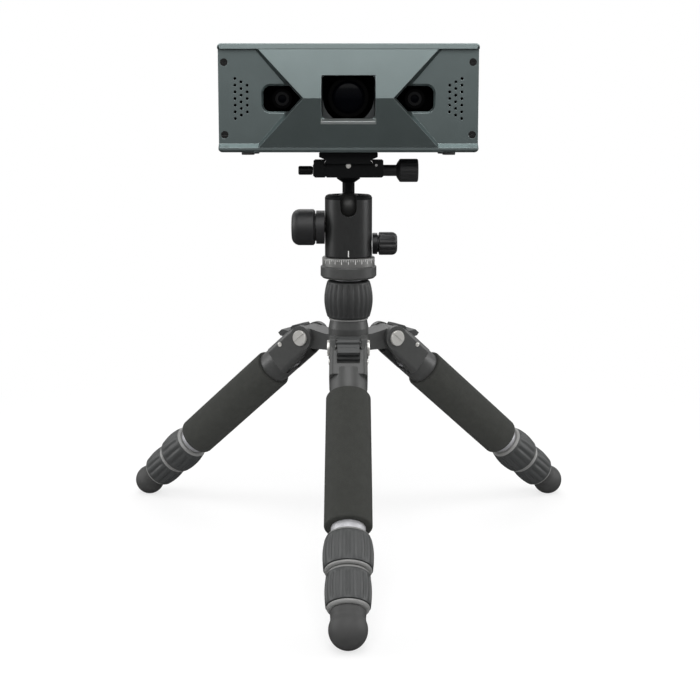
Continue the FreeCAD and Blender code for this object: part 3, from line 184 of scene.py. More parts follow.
satin = {"colour": (0.212, 0.256, 0.256), "roughness": 0.31, "metallic": 0.92, "tint": 0.05,
         "blot": 0.02, "grit": 0.00035, "grit_height": 0.000006, "rough_spread": 0.05,
         "worn": (0.30, 0.34, 0.34), "wear_reach": 0.0004}
# Sill bevel under the projector opening painted lighter: a painted highlight where top light falls
# on it.
painted_sill_highlight = ((-0.0212, 0.0165, 0.3357), (0.0212, 0.0223, 0.3402), (0.62, 0.66, 0.65))
casing_paint = finish("casing_satin", **satin)
cover_paint_sill_highlight = finish("cover_satin_painted_sill_highlight", painted_light_patch=painted_sill_highlight, **satin)
rear_plastic = finish("rear_cover_texture", (0.028, 0.031, 0.032), 0.58, tint=0.1,
                      grit=0.0007, grit_height=0.00004, worn=(0.06, 0.065, 0.066))
optics_black = finish("optics_black", (0.004, 0.004, 0.0045), 0.5, grit=0.0004,
                      grit_height=0.00001, constants={"Specular IOR Level": 0.1})
bore_black = finish("bore_black", (0.0012, 0.0012, 0.0013), 0.8, grit=0.0004,
                    grit_height=0.00001, constants={"Specular IOR Level": 0.02})
clamp_black = finish("clamp_black", (0.003, 0.0034, 0.0037), 0.5, tint=0.15, grit=0.0004,
                     grit_height=0.000008, worn=(0.02, 0.021, 0.022), wear_reach=0.0003,
                     constants={"Specular IOR Level": 0.12})
housing_coat = finish("housing_coat", (0.020, 0.0205, 0.0205), 0.36, metallic=0.2, tint=0.12,
                      grit=0.0005, grit_height=0.00001, worn=(0.07, 0.07, 0.07),
                      wear_reach=0.0003)
cast_coat = finish("cast_powder_coat", (0.050, 0.051, 0.050), 0.40, tint=0.14,
                   grit=0.0005, grit_height=0.00003, worn=(0.12, 0.12, 0.118))
black_anodised = finish("black_anodised", (0.011, 0.011, 0.012), 0.36, metallic=0.4, tint=0.15,
                        grit=0.0004, grit_height=0.000006, worn=(0.10, 0.10, 0.105))
tube_silver = finish("tube_silver_anodised", (0.52, 0.52, 0.54), 0.55, metallic=0.5, tint=0.05,
                     grit=0.0003, grit_height=0.000002)
ring_silver = finish("lock_ring_satin", (0.27, 0.27, 0.265), 0.5, metallic=0.35, tint=0.08,
                     grit=0.0003, grit_height=0.000005)
lock_rubber = finish("lock_rubber", (0.044, 0.046, 0.046), 0.50, tint=0.12, grit=0.0005,
                     grit_height=0.00002)
column_rubber = finish("column_lock_rubber", (0.028, 0.029, 0.029), 0.50, tint=0.12,
                       grit=0.0005, grit_height=0.00002)
knob_rubber = finish("knob_rubber", (0.015, 0.015, 0.016), 0.5, tint=0.12, grit=0.0005,
                     grit_height=0.00002)
ring_anodised = finish("graduated_ring", (0.20, 0.20, 0.195), 0.42, metallic=0.6, tint=0.08,
                       grit=0.0004, grit_height=0.000008, worn=(0.4, 0.4, 0.39))
bare_alloy = finish("bare_alloy", (0.5, 0.51, 0.52), 0.32, metallic=1.0, tint=0.05,
                    blot_stretch=(1, 1, 8), grit=0.0004, grit_height=0.000008)
bolt_steel = finish("bolt_steel", (0.70, 0.69, 0.66), 0.30, metallic=0.55, tint=0.06,
                    grit=0.0004, grit_height=0.00001)
screw_black = finish("screw_black", (0.012, 0.012, 0.012), 0.36, metallic=0.5,
                     grit=0.0003, grit_height=0.00001, worn=(0.12, 0.12, 0.12),
                     wear_reach=0.0002)
foot_rubber = finish("foot_rubber", (0.042, 0.042, 0.0415), 0.62, tint=0.14, grit=0.0007,
                     grit_height=0.00003)
board_mask = finish("board_mask", (0.01, 0.09, 0.035), 0.4, grit=0.001, grit_height=0.00003)
mark_white = finish("mark_white", (0.72, 0.72, 0.70), 0.6, tint=0.04, grit=0.0003,
                    grit_height=0.00001)
ball_steel = finish("ball_satin", (0.025, 0.025, 0.024), 0.42, metallic=0.4, tint=0.1,
                    grit=0.0004, grit_height=0.000006)


def foam_finish():
    """Matt closed-cell foam: fine open pores, painted darker for the shade inside them, over a
    faintly streaked dark skin.
    """
    material, tree = empty_material("grip_foam")
    place = node(tree, "ShaderNodeTexCoord")["Object"]
    cells = node(tree, "ShaderNodeTexVoronoi", {"feature": "F1"},
                 {"Vector": place, "Scale": 1600.0, "Randomness": 1.0})["Distance"]
    streaks = grain(tree, 0.006, 3.0)
    tone = mixed_colour(tree, streaks, (0.031, 0.032, 0.029), (0.045, 0.046, 0.042))
    pores = node(tree, "ShaderNodeMath", {"operation": "LESS_THAN"}, {0: cells, 1: 0.22})["Value"]
    # Painted shade: the pores are darkened as if shaded inside.
    tone = mixed_colour(tree, pores * 0.5, tone, (0.015, 0.015, 0.014))
    height = cells * 0.7 + streaks * 0.6
    bump = node(tree, "ShaderNodeBump", None,
                {"Strength": 1.0, "Distance": 0.00012, "Height": height})["Normal"]
    shader = node(tree, "ShaderNodeBsdfPrincipled", None, {
        "Base Color": tone, "Roughness": 0.9 + pores * 0.08, "Normal": bump,
        "Specular IOR Level": 0.25})["BSDF"]
    node(tree, "ShaderNodeOutputMaterial", None, {"Surface": shader})
    return material


def glass_finish():
    """Coated lens glass over a black barrel, with the coating's reflection painted into its colour
    towards grazing view.
    """
    material, tree = empty_material("lens_glass")
    dust = grain(tree, 0.0015, 4.0)
    # Painted reflection: the colour turns lighter and purple where the glass is seen at a grazing
    # angle.
    painted_reflection_share = node(tree, "ShaderNodeLayerWeight", None, {"Blend": 0.35})["Facing"]
    tone = mixed_colour(tree, painted_reflection_share, (0.001, 0.0012, 0.002), (0.004, 0.003, 0.006))
    shader = node(tree, "ShaderNodeBsdfPrincipled", None, {
        "Base Color": tone, "Roughness": 0.12 + dust * 0.06, "IOR": 1.45,
        "Specular IOR Level": 0.05})["BSDF"]
    node(tree, "ShaderNodeOutputMaterial", None, {"Surface": shader})
    return material


grip_foam = foam_finish()
lens_glass = glass_finish()

slot_finishes = {
    "casing_grey": casing_paint, "casing_dark": rear_plastic, "optics_black": optics_black,
    "glass": lens_glass, "cast_alloy": cast_coat, "machined_alloy": black_anodised,
    "tube_alloy": tube_silver, "bare_alloy": bare_alloy, "steel": bolt_steel,
    "screw_black": screw_black, "lock_grey": lock_rubber, "knob_black": knob_rubber,
    "ring_grey": ring_anodised, "foam": grip_foam, "rubber": foot_rubber,
    "board_green": board_mask,
}
own_finishes = {"ball": ball_steel, "plate_screw": bolt_steel, "optical_bar": bore_black,
                "light_engine": bore_black, "camera_barrels": bore_black,
                "projector_barrel": bore_black, "clamp_nut": screw_black,
                "qr_plate": clamp_black, "clamp_body": clamp_black, "clamp_jaw": clamp_black,
                "ball_stem": clamp_black, "housing_bezel": clamp_black,
                "ball_housing": housing_coat, "front_cover": cover_paint_sill_highlight}
for subpart in frame["record"]["subparts"]:
    name = subpart["node"]
    paint = own_finishes.get(name, slot_finishes[subpart["material_slot"]])
    mesh = frame["nodes"][name].data
    if not mesh.materials:
        mesh.materials.append(paint)
    for index in range(len(mesh.materials)):
        mesh.materials[index] = paint


# Mesh helpers

def placed(centre, along, side):
    """Matrix with its Z along one direction and its X near another."""
    z = Vector(along).normalized()
    x = (Vector(side) - z * Vector(side).dot(z)).normalized()
    y = z.cross(x)
    matrix = Matrix((x, y, z)).transposed().to_4x4()
    matrix.translation = Vector(centre)
    return matrix


def leg_place(name):
    """Leg frame: X to its upper side, Y along its bolt, Z from pivot to foot."""
    swing = joints[name + "_leg_swing"]
    along = Vector(joints[name + "_leg_middle_slide"]["axis"]).normalized()
    bolt = Vector(swing["axis"]).normalized()
    matrix = Matrix((bolt.cross(along), bolt, along)).transposed().to_4x4()
    matrix.translation = Vector(swing["pos_m"])
    return matrix


def swelled(start, end, swell, steps):
    """Points after start on an arc to end that swells outwards by a height."""
    (r0, h0), (r1, h1) = start, end
    length = math.hypot(r1 - r0, h1 - h0)
    out_r, out_h = (h1 - h0) / length, (r0 - r1) / length
    points = []
    for i in range(1, steps + 1):
        share = i / steps
        lift = 4 * swell * share * (1 - share)
        points.append((r0 + (r1 - r0) * share + out_r * lift,
                       h0 + (h1 - h0) * share + out_h * lift))
    return points


def profile(*steps):
    """Profile in mm from points; a third number swells the side that leads to its point."""
    points = [steps[0][:2]]
    for step in steps[1:]:
        if len(step) == 3:
            points += swelled(points[-1], step[:2], step[2], 10)
        else:
            points.append(step)
    return points


def finished_mesh(name, bm):
    """Mesh from a bmesh, with its faces turned outwards."""
    bmesh.ops.recalc_face_normals(bm, faces=bm.faces)
    mesh = bpy.data.meshes.new(name)
    bm.to_mesh(mesh)
    bm.free()
    return mesh


def half_across(name, axis="x"):
    """Half the width of a node along an axis, in mm."""
    low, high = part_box(name)
    return (getattr(high, axis) - getattr(low, axis)) / 2 / MM


def side_name(base, side):
    """Name of a piece on the left (-1) or right (1)."""
    return base + ("_left" if side < 0 else "_right")


def shell_mesh(name, rings, closed_ends):
    """Mesh from rings of points; ends are closed with a fan or joined into a loop."""
    bm = bmesh.new()
    rows = [[bm.verts.new(point) for point in ring] for ring in rings]
    count = len(rows[0])
    pairs = list(zip(rows, rows[1:]))
    if not closed_ends:
        pairs.append((rows[-1], rows[0]))
    for low, high in pairs:
        for i in range(count):
            j = (i + 1) % count
            bm.faces.new((low[i], low[j], high[j], high[i]))
    if closed_ends:
        for row, flip in ((rows[0], True), (rows[-1], False)):
            middle_point = sum((v.co for v in row), Vector()) / count
            middle_vert = bm.verts.new(middle_point)
            for i in range(count):
                j = (i + 1) % count
                corner = (row[j], row[i]) if flip else (row[i], row[j])
                bm.faces.new((*corner, middle_vert))
    return finished_mesh(name, bm)


def turned_mesh(name, points, segments, closed_ends=False):
    """Turned mesh about Z from (radius, height) points in mm."""
    rings = []
    for radius, height in points:
        ring = []
        for i in range(segments):
            turn = 2 * math.pi * i / segments
            ring.append((radius * math.cos(turn) * MM, radius * math.sin(turn) * MM,
                         height * MM))
        rings.append(ring)
    return shell_mesh(name, rings, closed_ends)


def piece(name, mesh, matrix, body, material, sharp_deg=32, replaced=()):
    """Finish a mesh as one piece: place it, smooth it, paint it and let it ride."""
    mesh.transform(matrix)
    if matrix.determinant() < 0:
        mesh.flip_normals()
    mesh.materials.clear()
    mesh.materials.append(material)
    mesh.polygons.foreach_set("material_index", [0] * len(mesh.polygons))
    mesh.shade_smooth()
    mesh.set_sharp_from_angle(angle=math.radians(sharp_deg))
    made = bpy.data.objects.new(name, mesh)
    bpy.context.scene.collection.objects.link(made)
    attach(made, body)
    if replaced:
        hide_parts(*replaced)
    return made


# Geometry Nodes helpers

class Tree:
    """A Geometry Nodes tree with named inputs."""

    def __init__(self, name, inputs):
        self.group = bpy.data.node_groups.new(name, "GeometryNodeTree")
        self.group.interface.new_socket("Geometry", in_out="INPUT",
                                        socket_type="NodeSocketGeometry")
        self.group.interface.new_socket("Geometry", in_out="OUTPUT",
                                        socket_type="NodeSocketGeometry")
        self.identifiers = {}
        for label, value in inputs.items():
            kind = "NodeSocketInt" if isinstance(value, int) else "NodeSocketFloat"
            if isinstance(value, bpy.types.Material):
                kind = "NodeSocketMaterial"
            socket = self.group.interface.new_socket(label, in_out="INPUT", socket_type=kind)
            self.identifiers[label] = socket.identifier
        self.entry = self.add("NodeGroupInput")
        self.values = inputs

    def add(self, kind, settings=None, sockets=None):
        made = self.group.nodes.new(kind)
        for name, value in (settings or {}).items():
            setattr(made, name, value)
        for key, value in (sockets or {}).items():
            if isinstance(value, bpy.types.NodeSocket):
                self.group.links.new(value, made.inputs[key])
            else:
                made.inputs[key].default_value = value
        return made

    def value(self, label):
        return self.entry.outputs[label]

    def maths(self, operation, first, second=0.0):
        return self.add("ShaderNodeMath", {"operation": operation},
                        {0: first, 1: second}).outputs[0]

    def close(self, geometry):
        """End in Realize Instances and Set Material."""
        real = self.add("GeometryNodeRealizeInstances", None, {"Geometry": geometry})
        painted = self.add("GeometryNodeSetMaterial", None,
                           {"Geometry": real.outputs[0], "Material": self.value("Material")})
        out = self.add("NodeGroupOutput")
        self.group.links.new(painted.outputs[0], out.inputs[0])

    def grown(self, name, mesh, changes=None):
        """Run the tree on a mesh and return the plain mesh that it makes."""
        carrier = bpy.data.objects.new(name + "_carrier", mesh)
        bpy.context.scene.collection.objects.link(carrier)
        modifier = carrier.modifiers.new("grow", "NODES")
        modifier.node_group = self.group
        for label, value in {**self.values, **(changes or {})}.items():
            modifier[self.identifiers[label]] = value
        carrier.update_tag()
        graph = bpy.context.evaluated_depsgraph_get()
        made = bpy.data.meshes.new_from_object(carrier.evaluated_get(graph))
        carrier.modifiers.remove(modifier)
        bpy.data.objects.remove(carrier)
        made.name = name
        return made


def flute_tree():
    """Press round flutes into a turned body between two heights."""
    tree = Tree("flutes", {"Count": 20, "Depth": 0.0005, "Start": 0.0, "End": 0.01,
                           "Fade": 0.001, "Material": lock_rubber})
    place = tree.add("GeometryNodeInputPosition").outputs[0]
    split = tree.add("ShaderNodeSeparateXYZ", None, {0: place})
    x, y, z = split.outputs
    turn = tree.maths("ARCTAN2", y, x)
    wave = tree.maths("COSINE", tree.maths("MULTIPLY", turn, tree.value("Count")))
    dip = tree.maths("POWER", tree.maths("MULTIPLY", tree.maths("ADD", wave, 1.0), 0.5), 1.6)
    rise = tree.maths("DIVIDE", tree.maths("SUBTRACT", z, tree.value("Start")),
                      tree.value("Fade"))
    fall = tree.maths("DIVIDE", tree.maths("SUBTRACT", tree.value("End"), z),
                      tree.value("Fade"))
    inside = tree.maths("MINIMUM", tree.maths("MINIMUM", rise, fall), 1.0)
    inside = tree.maths("MAXIMUM", inside, 0.0)
    press = tree.maths("MULTIPLY", tree.maths("MULTIPLY", dip, inside), tree.value("Depth"))
    radius = tree.maths("SQRT", tree.maths("ADD", tree.maths("MULTIPLY", x, x),
                                           tree.maths("MULTIPLY", y, y)))
    shrink = tree.maths("SUBTRACT", 1.0, tree.maths("DIVIDE", press,
                                                    tree.maths("MAXIMUM", radius, 0.0001)))
    moved = tree.add("ShaderNodeCombineXYZ", None,
                     {0: tree.maths("MULTIPLY", x, shrink),
                      1: tree.maths("MULTIPLY", y, shrink), 2: z})
    pressed = tree.add("GeometryNodeSetPosition", None,
                       {"Geometry": tree.value("Geometry"), "Position": moved.outputs[0]})
    tree.close(pressed.outputs[0])
    return tree


def ring_tree():
    """Repeat a small mesh around Z at equal steps."""
    tree = Tree("around", {"Count": 12, "Start": 0.0, "Step": 0.5, "Material": mark_white})
    spots = tree.add("GeometryNodePoints", None, {"Count": tree.value("Count")})
    index = tree.add("GeometryNodeInputIndex").outputs[0]
    turn = tree.maths("ADD", tree.value("Start"),
                      tree.maths("MULTIPLY", index, tree.value("Step")))
    angles = tree.add("ShaderNodeCombineXYZ", None, {2: turn})
    copies = tree.add("GeometryNodeInstanceOnPoints", None,
                      {"Points": spots.outputs[0], "Instance": tree.value("Geometry"),
                       "Rotation": angles.outputs[0]})
    tree.close(copies.outputs[0])
    return tree


flutes = flute_tree()
around = ring_tree()


def fluted_piece(name, points, segments, count, depth, start, end, fade,
                 matrix, body, material, replaced=(), closed_ends=False):
    """Turned piece with pressed flutes: their count, depth, reach and run-out in mm."""
    base = turned_mesh(name + "_blank", points, segments, closed_ends)
    mesh = flutes.grown(name, base, {"Count": count, "Depth": depth * MM,
                                     "Start": start * MM, "End": end * MM,
                                     "Fade": fade * MM, "Material": material})
    return piece(name, mesh, matrix, body, material, 40, replaced)


# Legs: feet, foam grips, twist locks and cheek screws, in mm along the leg from its pivot

grip_start, grip_end, tube_radius = 48.0, 157.0, 12.0
grip_radius = half_across("front_leg_grip")
casting_half_width = half_across("front_leg_casting")
lock_collar_length = 1.9
upper_lock = {
    "start": 163.4, "end": 190.5, "top": 14.3, "shoulder": 5.3, "shoulder_radius": 16.5,
    "swell": 0.92, "rim": 2.2, "rim_radius": 16.8, "ring_radius": 16.1, "tail_radius": 15.0,
    "bore": 12.1}
lower_lock = {
    "start": 191.0, "end": 217.2, "top": 14.1, "shoulder": 4.7, "shoulder_radius": 15.2,
    "swell": 0.75, "rim": 2.6, "rim_radius": 15.0, "ring_radius": 14.3, "tail_radius": 12.9,
    "bore": 10.5}
foot_start, foot_neck_end, foot_centre = 217.5, 223.4, 229.9
foot_radius = half_across("front_leg_foot")


def foam_grip(leg, matrix):
    """Foam sleeve with rounded ends that takes the place of the plain grip."""
    points = profile(
        (tube_radius, grip_start), (grip_radius - 1.2, grip_start),
        (grip_radius, grip_start + 1.2, 0.3), (grip_radius, grip_start + 14),
        (grip_radius + 0.05, grip_end - 30), (grip_radius, grip_end - 1.4),
        (grip_radius - 1.4, grip_end, 0.35), (tube_radius, grip_end))
    grip = piece(leg + "_grip_foam", turned_mesh(leg + "_grip_foam", points, 96), matrix,
                 leg, grip_foam, 50, (leg + "_grip",))


def twist_lock(leg, which, matrix, start, end, top, shoulder, shoulder_radius, swell, rim,
               rim_radius, ring_radius, tail_radius, bore):
    """Fluted rubber body between a thin light collar and a light end ring."""
    body = leg + "_" + which + "_lock"
    collar_end, body_end = start + lock_collar_length, end - rim
    collar_radius = top + (shoulder_radius - top) * lock_collar_length / shoulder + 0.3
    fluted_piece(body + "_body", profile(
        (bore, collar_end - 0.2), (collar_radius - 0.25, collar_end - 0.1),
        (shoulder_radius, start + shoulder, 0.2),
        (rim_radius, body_end - 0.3, swell), (rim_radius - 0.4, body_end, 0.08),
        (bore, body_end + 0.2)),
        256, 16, 1.0, collar_end + 0.6, body_end - 0.1, 3.2, matrix, body,
        lock_rubber, (body,))
    collar = profile(
        (bore, start), (top - 0.4, start), (top, start + 0.4, 0.08),
        (collar_radius, collar_end, 0.1), (bore, collar_end + 0.1))
    piece(body + "_collar", turned_mesh(body + "_collar", collar, 96), matrix, body,
          ring_silver)
    ring = profile(
        (bore, body_end - 0.1), (ring_radius - 0.9, body_end - 0.1),
        (ring_radius - 0.9, body_end + 0.5), (ring_radius, body_end + 0.6),
        (tail_radius, end, 0.3), (bore, end))
    piece(body + "_ring", turned_mesh(body + "_ring", ring, 96), matrix, body,
          ring_silver)


def dome_screw(name, radius, height, slot_width):
    """Low domed screw head on Z with a cross slot pressed in its top."""
    points = [(radius, -0.6), (radius, height * 0.35), (radius * 0.9, height * 0.7),
              (radius * 0.62, height * 0.95), (radius * 0.3, height * 1.0)]
    mesh = turned_mesh(name, points, 32, True)
    for vert in mesh.vertices:
        x, y, z = (value / MM for value in vert.co)
        if z > height * 0.5 and (abs(x) < slot_width or abs(y) < slot_width):
            vert.co.z -= height * 0.45 * MM
    return mesh


def cheek_screws(leg, matrix):
    """Small bright screws on both cheeks of the leg casting."""
    for side in (1, -1):
        name = leg + "_cheek_screw_" + ("a" if side > 0 else "b")
        seat = placed(Vector((7.6, side * casting_half_width, 20.0)) * MM, (0, side, 0),
                      (1, 0, 0))
        piece(name, dome_screw(name, 1.9, 0.7, 0.35), matrix @ seat, leg, bolt_steel)


def rubber_foot(leg, matrix):
    """Ball foot that flows out of its neck, with the flat that it stands on."""
    centre, reach = foot_centre, foot_radius
    points = profile((8.95, foot_start), (11.4, foot_start), (11.9, foot_start + 0.5, 0.1),
                     (11.75, foot_start + 3.5), (11.7, foot_neck_end, -0.1))
    first = math.acos((foot_neck_end - centre) / -reach) - 0.03
    steps = 22
    for i in range(1, steps + 1):
        turn = first + (math.pi - first) * i / steps
        points.append((reach * math.sin(turn), centre - reach * math.cos(turn)))
    points[-1] = (0.3, centre + reach)
    mesh = turned_mesh(leg + "_foot_rubber", points, 72, True)
    mesh.transform(matrix)
    for vert in mesh.vertices:
        vert.co.z = max(vert.co.z, 0.0)
    piece(leg + "_foot_rubber", mesh, Matrix(), leg + "_bottom", foot_rubber, 40,
          (leg + "_foot",))


for name in legs:
    leg = name + "_leg"
    matrix = leg_place(name)
    rubber_foot(leg, matrix)
    foam_grip(leg, matrix)
    twist_lock(leg, "upper", matrix, **upper_lock)
    twist_lock(leg, "lower", matrix, **lower_lock)
    cheek_screws(leg, matrix)


# Column lock

column_axis = Vector(joints["pan"]["pos_m"])
lock_low, lock_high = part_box("column_lock")
lock_height = (lock_high.z - lock_low.z) / MM
lock_place = placed((column_axis.x, column_axis.y, lock_low.z), (0, 0, 1), (1, 0, 0))
lock_swell, lock_bore = 2.1, 13.3
lock_rim = half_across("column_lock") - lock_swell
fluted_piece("column_lock_body", profile(
    (lock_bore, 1.2), (15.5, 1.4), (lock_rim, 3.6, 0.5),
    (lock_rim, lock_height - 2.2, lock_swell), (15.4, lock_height, 0.5), (11.2, lock_height)),
    288, 24, 0.9, 2.6, lock_height - 1.6, 3.0, lock_place, "column_lock",
    column_rubber, ("column_lock",))
piece("column_lock_ring", turned_mesh("column_lock_ring", profile(
    (lock_bore, 0.0), (15.6, 0.0), (15.8, 0.2), (15.8, 1.0), (15.5, 1.3), (lock_bore, 1.3)),
    96),
    lock_place, "column_lock", ring_silver)


# Ball head: knobs, ticks and marks

pan_place = placed(joints["pan_lock_turn"]["pos_m"], (1, 0, 0), (0, 0, 1))
pan_place.translation = Vector((column_axis.x, column_axis.y, pan_place.translation.z))
housing_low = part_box("ball_housing")[0]
housing_radius = half_across("ball_housing")
pan_radius = half_across("pan_lock_knob", "z")
pan_reach = (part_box("pan_lock_knob")[1].x - column_axis.x) / MM
pan_collar, pan_head = housing_radius + 0.3, housing_radius + 5.3
fluted_piece("pan_knob_grip", profile(
    (3.0, pan_head), (pan_radius - 1.1, pan_head), (pan_radius, pan_head + 1.0, 0.25),
    (pan_radius, pan_reach - 4.2), (pan_radius - 3.6, pan_reach - 0.2, 0.9),
    (0.4, pan_reach)),
    216, 12, 1.1, pan_head + 0.4, pan_reach - 0.9, 2.0, pan_place, "pan_lock_knob",
    knob_rubber, ("pan_lock_knob",), True)
piece("pan_knob_collar", turned_mesh("pan_knob_collar", profile(
    (3.0, pan_collar), (pan_radius - 1.0, pan_collar), (pan_radius - 0.7, pan_collar + 0.3),
    (pan_radius - 0.7, pan_head - 1.1), (pan_radius - 2.3, pan_head - 0.9),
    (pan_radius - 2.3, pan_head + 0.2), (3.0, pan_head + 0.2)), 72),
    pan_place, "pan_lock_knob", black_anodised)

ring_low, ring_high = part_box("pan_ring")
ring_radius = half_across("pan_ring")
ring_place = placed((column_axis.x, column_axis.y, 0), (0, 0, 1), (1, 0, 0))


def tick_mesh(name, radius, low, high, width):
    """Thin raised mark on a cylinder about Z, near the X axis."""
    bm = bmesh.new()
    for depth in (-0.25, 0.05):
        for side, height in ((-1, low), (1, low), (1, high), (-1, high)):
            bm.verts.new(((radius + depth) * MM, side * width / 2 * MM, height))
    v = list(bm.verts)
    for face in ((0, 3, 2, 1), (4, 5, 6, 7), (0, 1, 5, 4), (1, 2, 6, 5), (2, 3, 7, 6),
                 (3, 0, 4, 7)):
        bm.faces.new([v[i] for i in face])
    return finished_mesh(name, bm)


band = ring_high.z - ring_low.z
for label, step_deg, reach, width in (("long", 15, 0.62, 0.45), ("short", 5, 0.34, 0.3)):
    tick = tick_mesh("ring_tick_" + label, ring_radius, ring_high.z - band * reach,
                     ring_high.z - band * 0.1, width)
    mesh = around.grown("ring_ticks_" + label, tick,
                        {"Count": 360 // step_deg, "Start": 0.0,
                         "Step": math.radians(step_deg), "Material": mark_white})
    piece("ring_ticks_" + label, mesh, ring_place, "column", mark_white)

mark = tick_mesh("index_mark", housing_radius, housing_low.z + 0.0012, housing_low.z + 0.0062,
                 0.8)
piece("index_mark", mark, placed((column_axis.x, column_axis.y, 0), (0, 0, 1), (0, -1, 0)),
      "head", mark_white)

# Clamp: fluted knob, screw and pin on its front, washers and the plate's slanted flanks

knob_place = placed((column_axis.x, column_axis.y, joints["clamp_knob_turn"]["pos_m"][2]),
                    (1, 0, 0), (0, 0, 1))
knob_radius = half_across("clamp_knob", "z")
fluted_piece("clamp_knob_grip", profile(
    (1.9, 27.6), (4.5, 27.6), (4.5, 38.0), (knob_radius - 1.2, 40.2, 0.2),
    (knob_radius, 41.5, 0.3), (knob_radius, 53.9), (knob_radius - 1.3, 55.4, 0.4),
    (0.4, 55.4)),
    216, 18, 0.5, 41.0, 54.6, 1.4, knob_place, "clamp_knob", knob_rubber,
    ("clamp_knob",), True)
clamp_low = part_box("clamp_body")[0]
stop_rise, guide_rise, guide_offset = 0.0092, 0.0096, 0.0216
stop_place = placed((column_axis.x, clamp_low.y, clamp_low.z + stop_rise), (0, -1, 0),
                    (1, 0, 0))
piece("clamp_stop_screw", dome_screw("clamp_stop_screw", 2.0, 0.8, 0.3), stop_place,
      "clamp", bolt_steel)
pin_place = placed((column_axis.x + guide_offset, clamp_low.y, clamp_low.z + guide_rise),
                   (0, -1, 0), (1, 0, 0))
piece("clamp_guide_pin", dome_screw("clamp_guide_pin", 1.0, 0.4, 0.15), pin_place,
      "clamp", ring_silver)
for name, body, bore, rim, start, end in (
        ("clamp_knob_washer", "clamp_knob", 1.9, 5.1, 27.2, 27.6),
        ("clamp_nut_washer", "clamp_jaw", 3.0, 4.6, -28.3, -27.2)):
    washer = profile((bore, start), (rim, start), (rim, end), (bore, end))
    piece(name, turned_mesh(name, washer, 64), knob_place, body, ring_silver)


def bar_mesh(name, corners, start, end, along):
    """Bar with the given cross-section in mm: (x, z) along Y, or (y, z) along X."""
    rings = []
    for reach in (start, end):
        if along == "Y":
            rings.append([(a * MM, reach * MM, b * MM) for a, b in corners])
        else:
            rings.append([(reach * MM, a * MM, b * MM) for a, b in corners])
    return shell_mesh(name, rings, True)


plate_low, plate_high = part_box("qr_plate")
plate_top, plate_half = plate_high.z / MM, half_across("qr_plate")
flank_inset = 0.4
flank_corners = ((0.2, 3.5), (0.2, 3.9), (5.2, 5.9), (5.8, 5.9), (5.8, 3.5))
for side in (-1, 1):
    name = side_name("plate_flank", side)
    flank = [(side * (plate_half - inward), plate_top - down) for inward, down in flank_corners]
    piece(name, bar_mesh(name, flank, plate_low.y / MM + flank_inset,
                         plate_high.y / MM - flank_inset, "Y"),
          Matrix(), "scanner", clamp_black)


# Scanner: rings in the camera windows, edge of the top lip, corners of the projector opening

def optic_ring(name, x, z, front_y, inner, outer, thick, material):
    """Ring with a chamfered bore that faces forwards; its section is in mm."""
    matrix = placed((x, front_y, z), (0, 1, 0), (1, 0, 0))
    ring = profile((inner, 0.0), (outer, 0.0), (outer, thick), (inner, thick),
                   (inner + 0.3, thick * 0.5))
    piece(name, turned_mesh(name, ring, 72), matrix, "scanner", material)


lens_low, lens_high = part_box("camera_lenses")
lens_z = (lens_low.z + lens_high.z) / 2
lens_radius, ring_stand = 0.0054, 0.0012
lens_x = (lens_high.x - lens_low.x) / 2 - lens_radius
for side in (-1, 1):
    optic_ring(side_name("camera_ring", side), side * lens_x, lens_z, lens_low.y - ring_stand,
               3.2, 5.3, 0.5, optics_black)


def gusset_mesh(name, side, half_width, depth_low, reach, front, back):
    """Lower corner of the projector opening, filled up to a circle about the opening."""
    corner = (side * half_width, -depth_low)
    first = math.asin(depth_low / reach)
    last = math.acos(min(half_width / reach, 1.0))
    steps = 14
    curve = []
    for i in range(steps + 1):
        turn = last + (first - last) * i / steps
        curve.append((side * reach * math.cos(turn), -reach * math.sin(turn)))
    bm = bmesh.new()
    rows = []
    for depth in (front, back):
        rows.append([bm.verts.new((x * MM, depth * MM, z * MM)) for x, z in (*curve, corner)])
    for row in rows:
        bm.faces.new(row)
    count = len(rows[0])
    for i in range(count):
        j = (i + 1) % count
        bm.faces.new((rows[0][i], rows[0][j], rows[1][j], rows[1][i]))
    return finished_mesh(name, bm)


cover_low, cover_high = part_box("front_cover")
wedge_stand, lip_stand, lip_half_length = 8.6, 4.4, 98.0
cover_top, cover_floor = cover_high.z / MM, cover_low.y / MM + wedge_stand
lip_front = cover_floor - lip_stand
lip = [(lip_front + 1.2, cover_top - 4.4), (lip_front - 0.32, cover_top - 4.35),
       (lip_front + 0.05, cover_top - 0.55), (lip_front + 0.35, cover_top - 0.3),
       (lip_front + 1.2, cover_top - 0.3)]
piece("top_lip_edge", bar_mesh("top_lip_edge", lip, -lip_half_length, lip_half_length, "X"),
      Matrix(), "scanner", casing_paint)

barrel_low, barrel_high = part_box("projector_barrel")
barrel_z = (barrel_low.z + barrel_high.z) / 2
gusset = {"half_width": 19.75, "depth_low": 15.95, "reach": 19.8, "front": 2.2, "back": 7.5}
for side in (-1, 1):
    name = side_name("projector_gusset", side)
    piece(name, gusset_mesh(name, side, **gusset),
          Matrix.Translation((0, barrel_low.y, barrel_z)), "scanner",
          rear_plastic)


# Studio: pale floor, white surroundings and soft lamps

sky_dark, sky_light, sky_top, sky_dark_rise, sky_light_rise = 0.10, 0.78, 0.25, -0.10, 0.32
floor_seen, floor_bounce, floor_gloss = 0.9, 0.85, 0.05
floor_half, floor_fade_start, floor_fade_end = 6.0, 0.25, 0.7


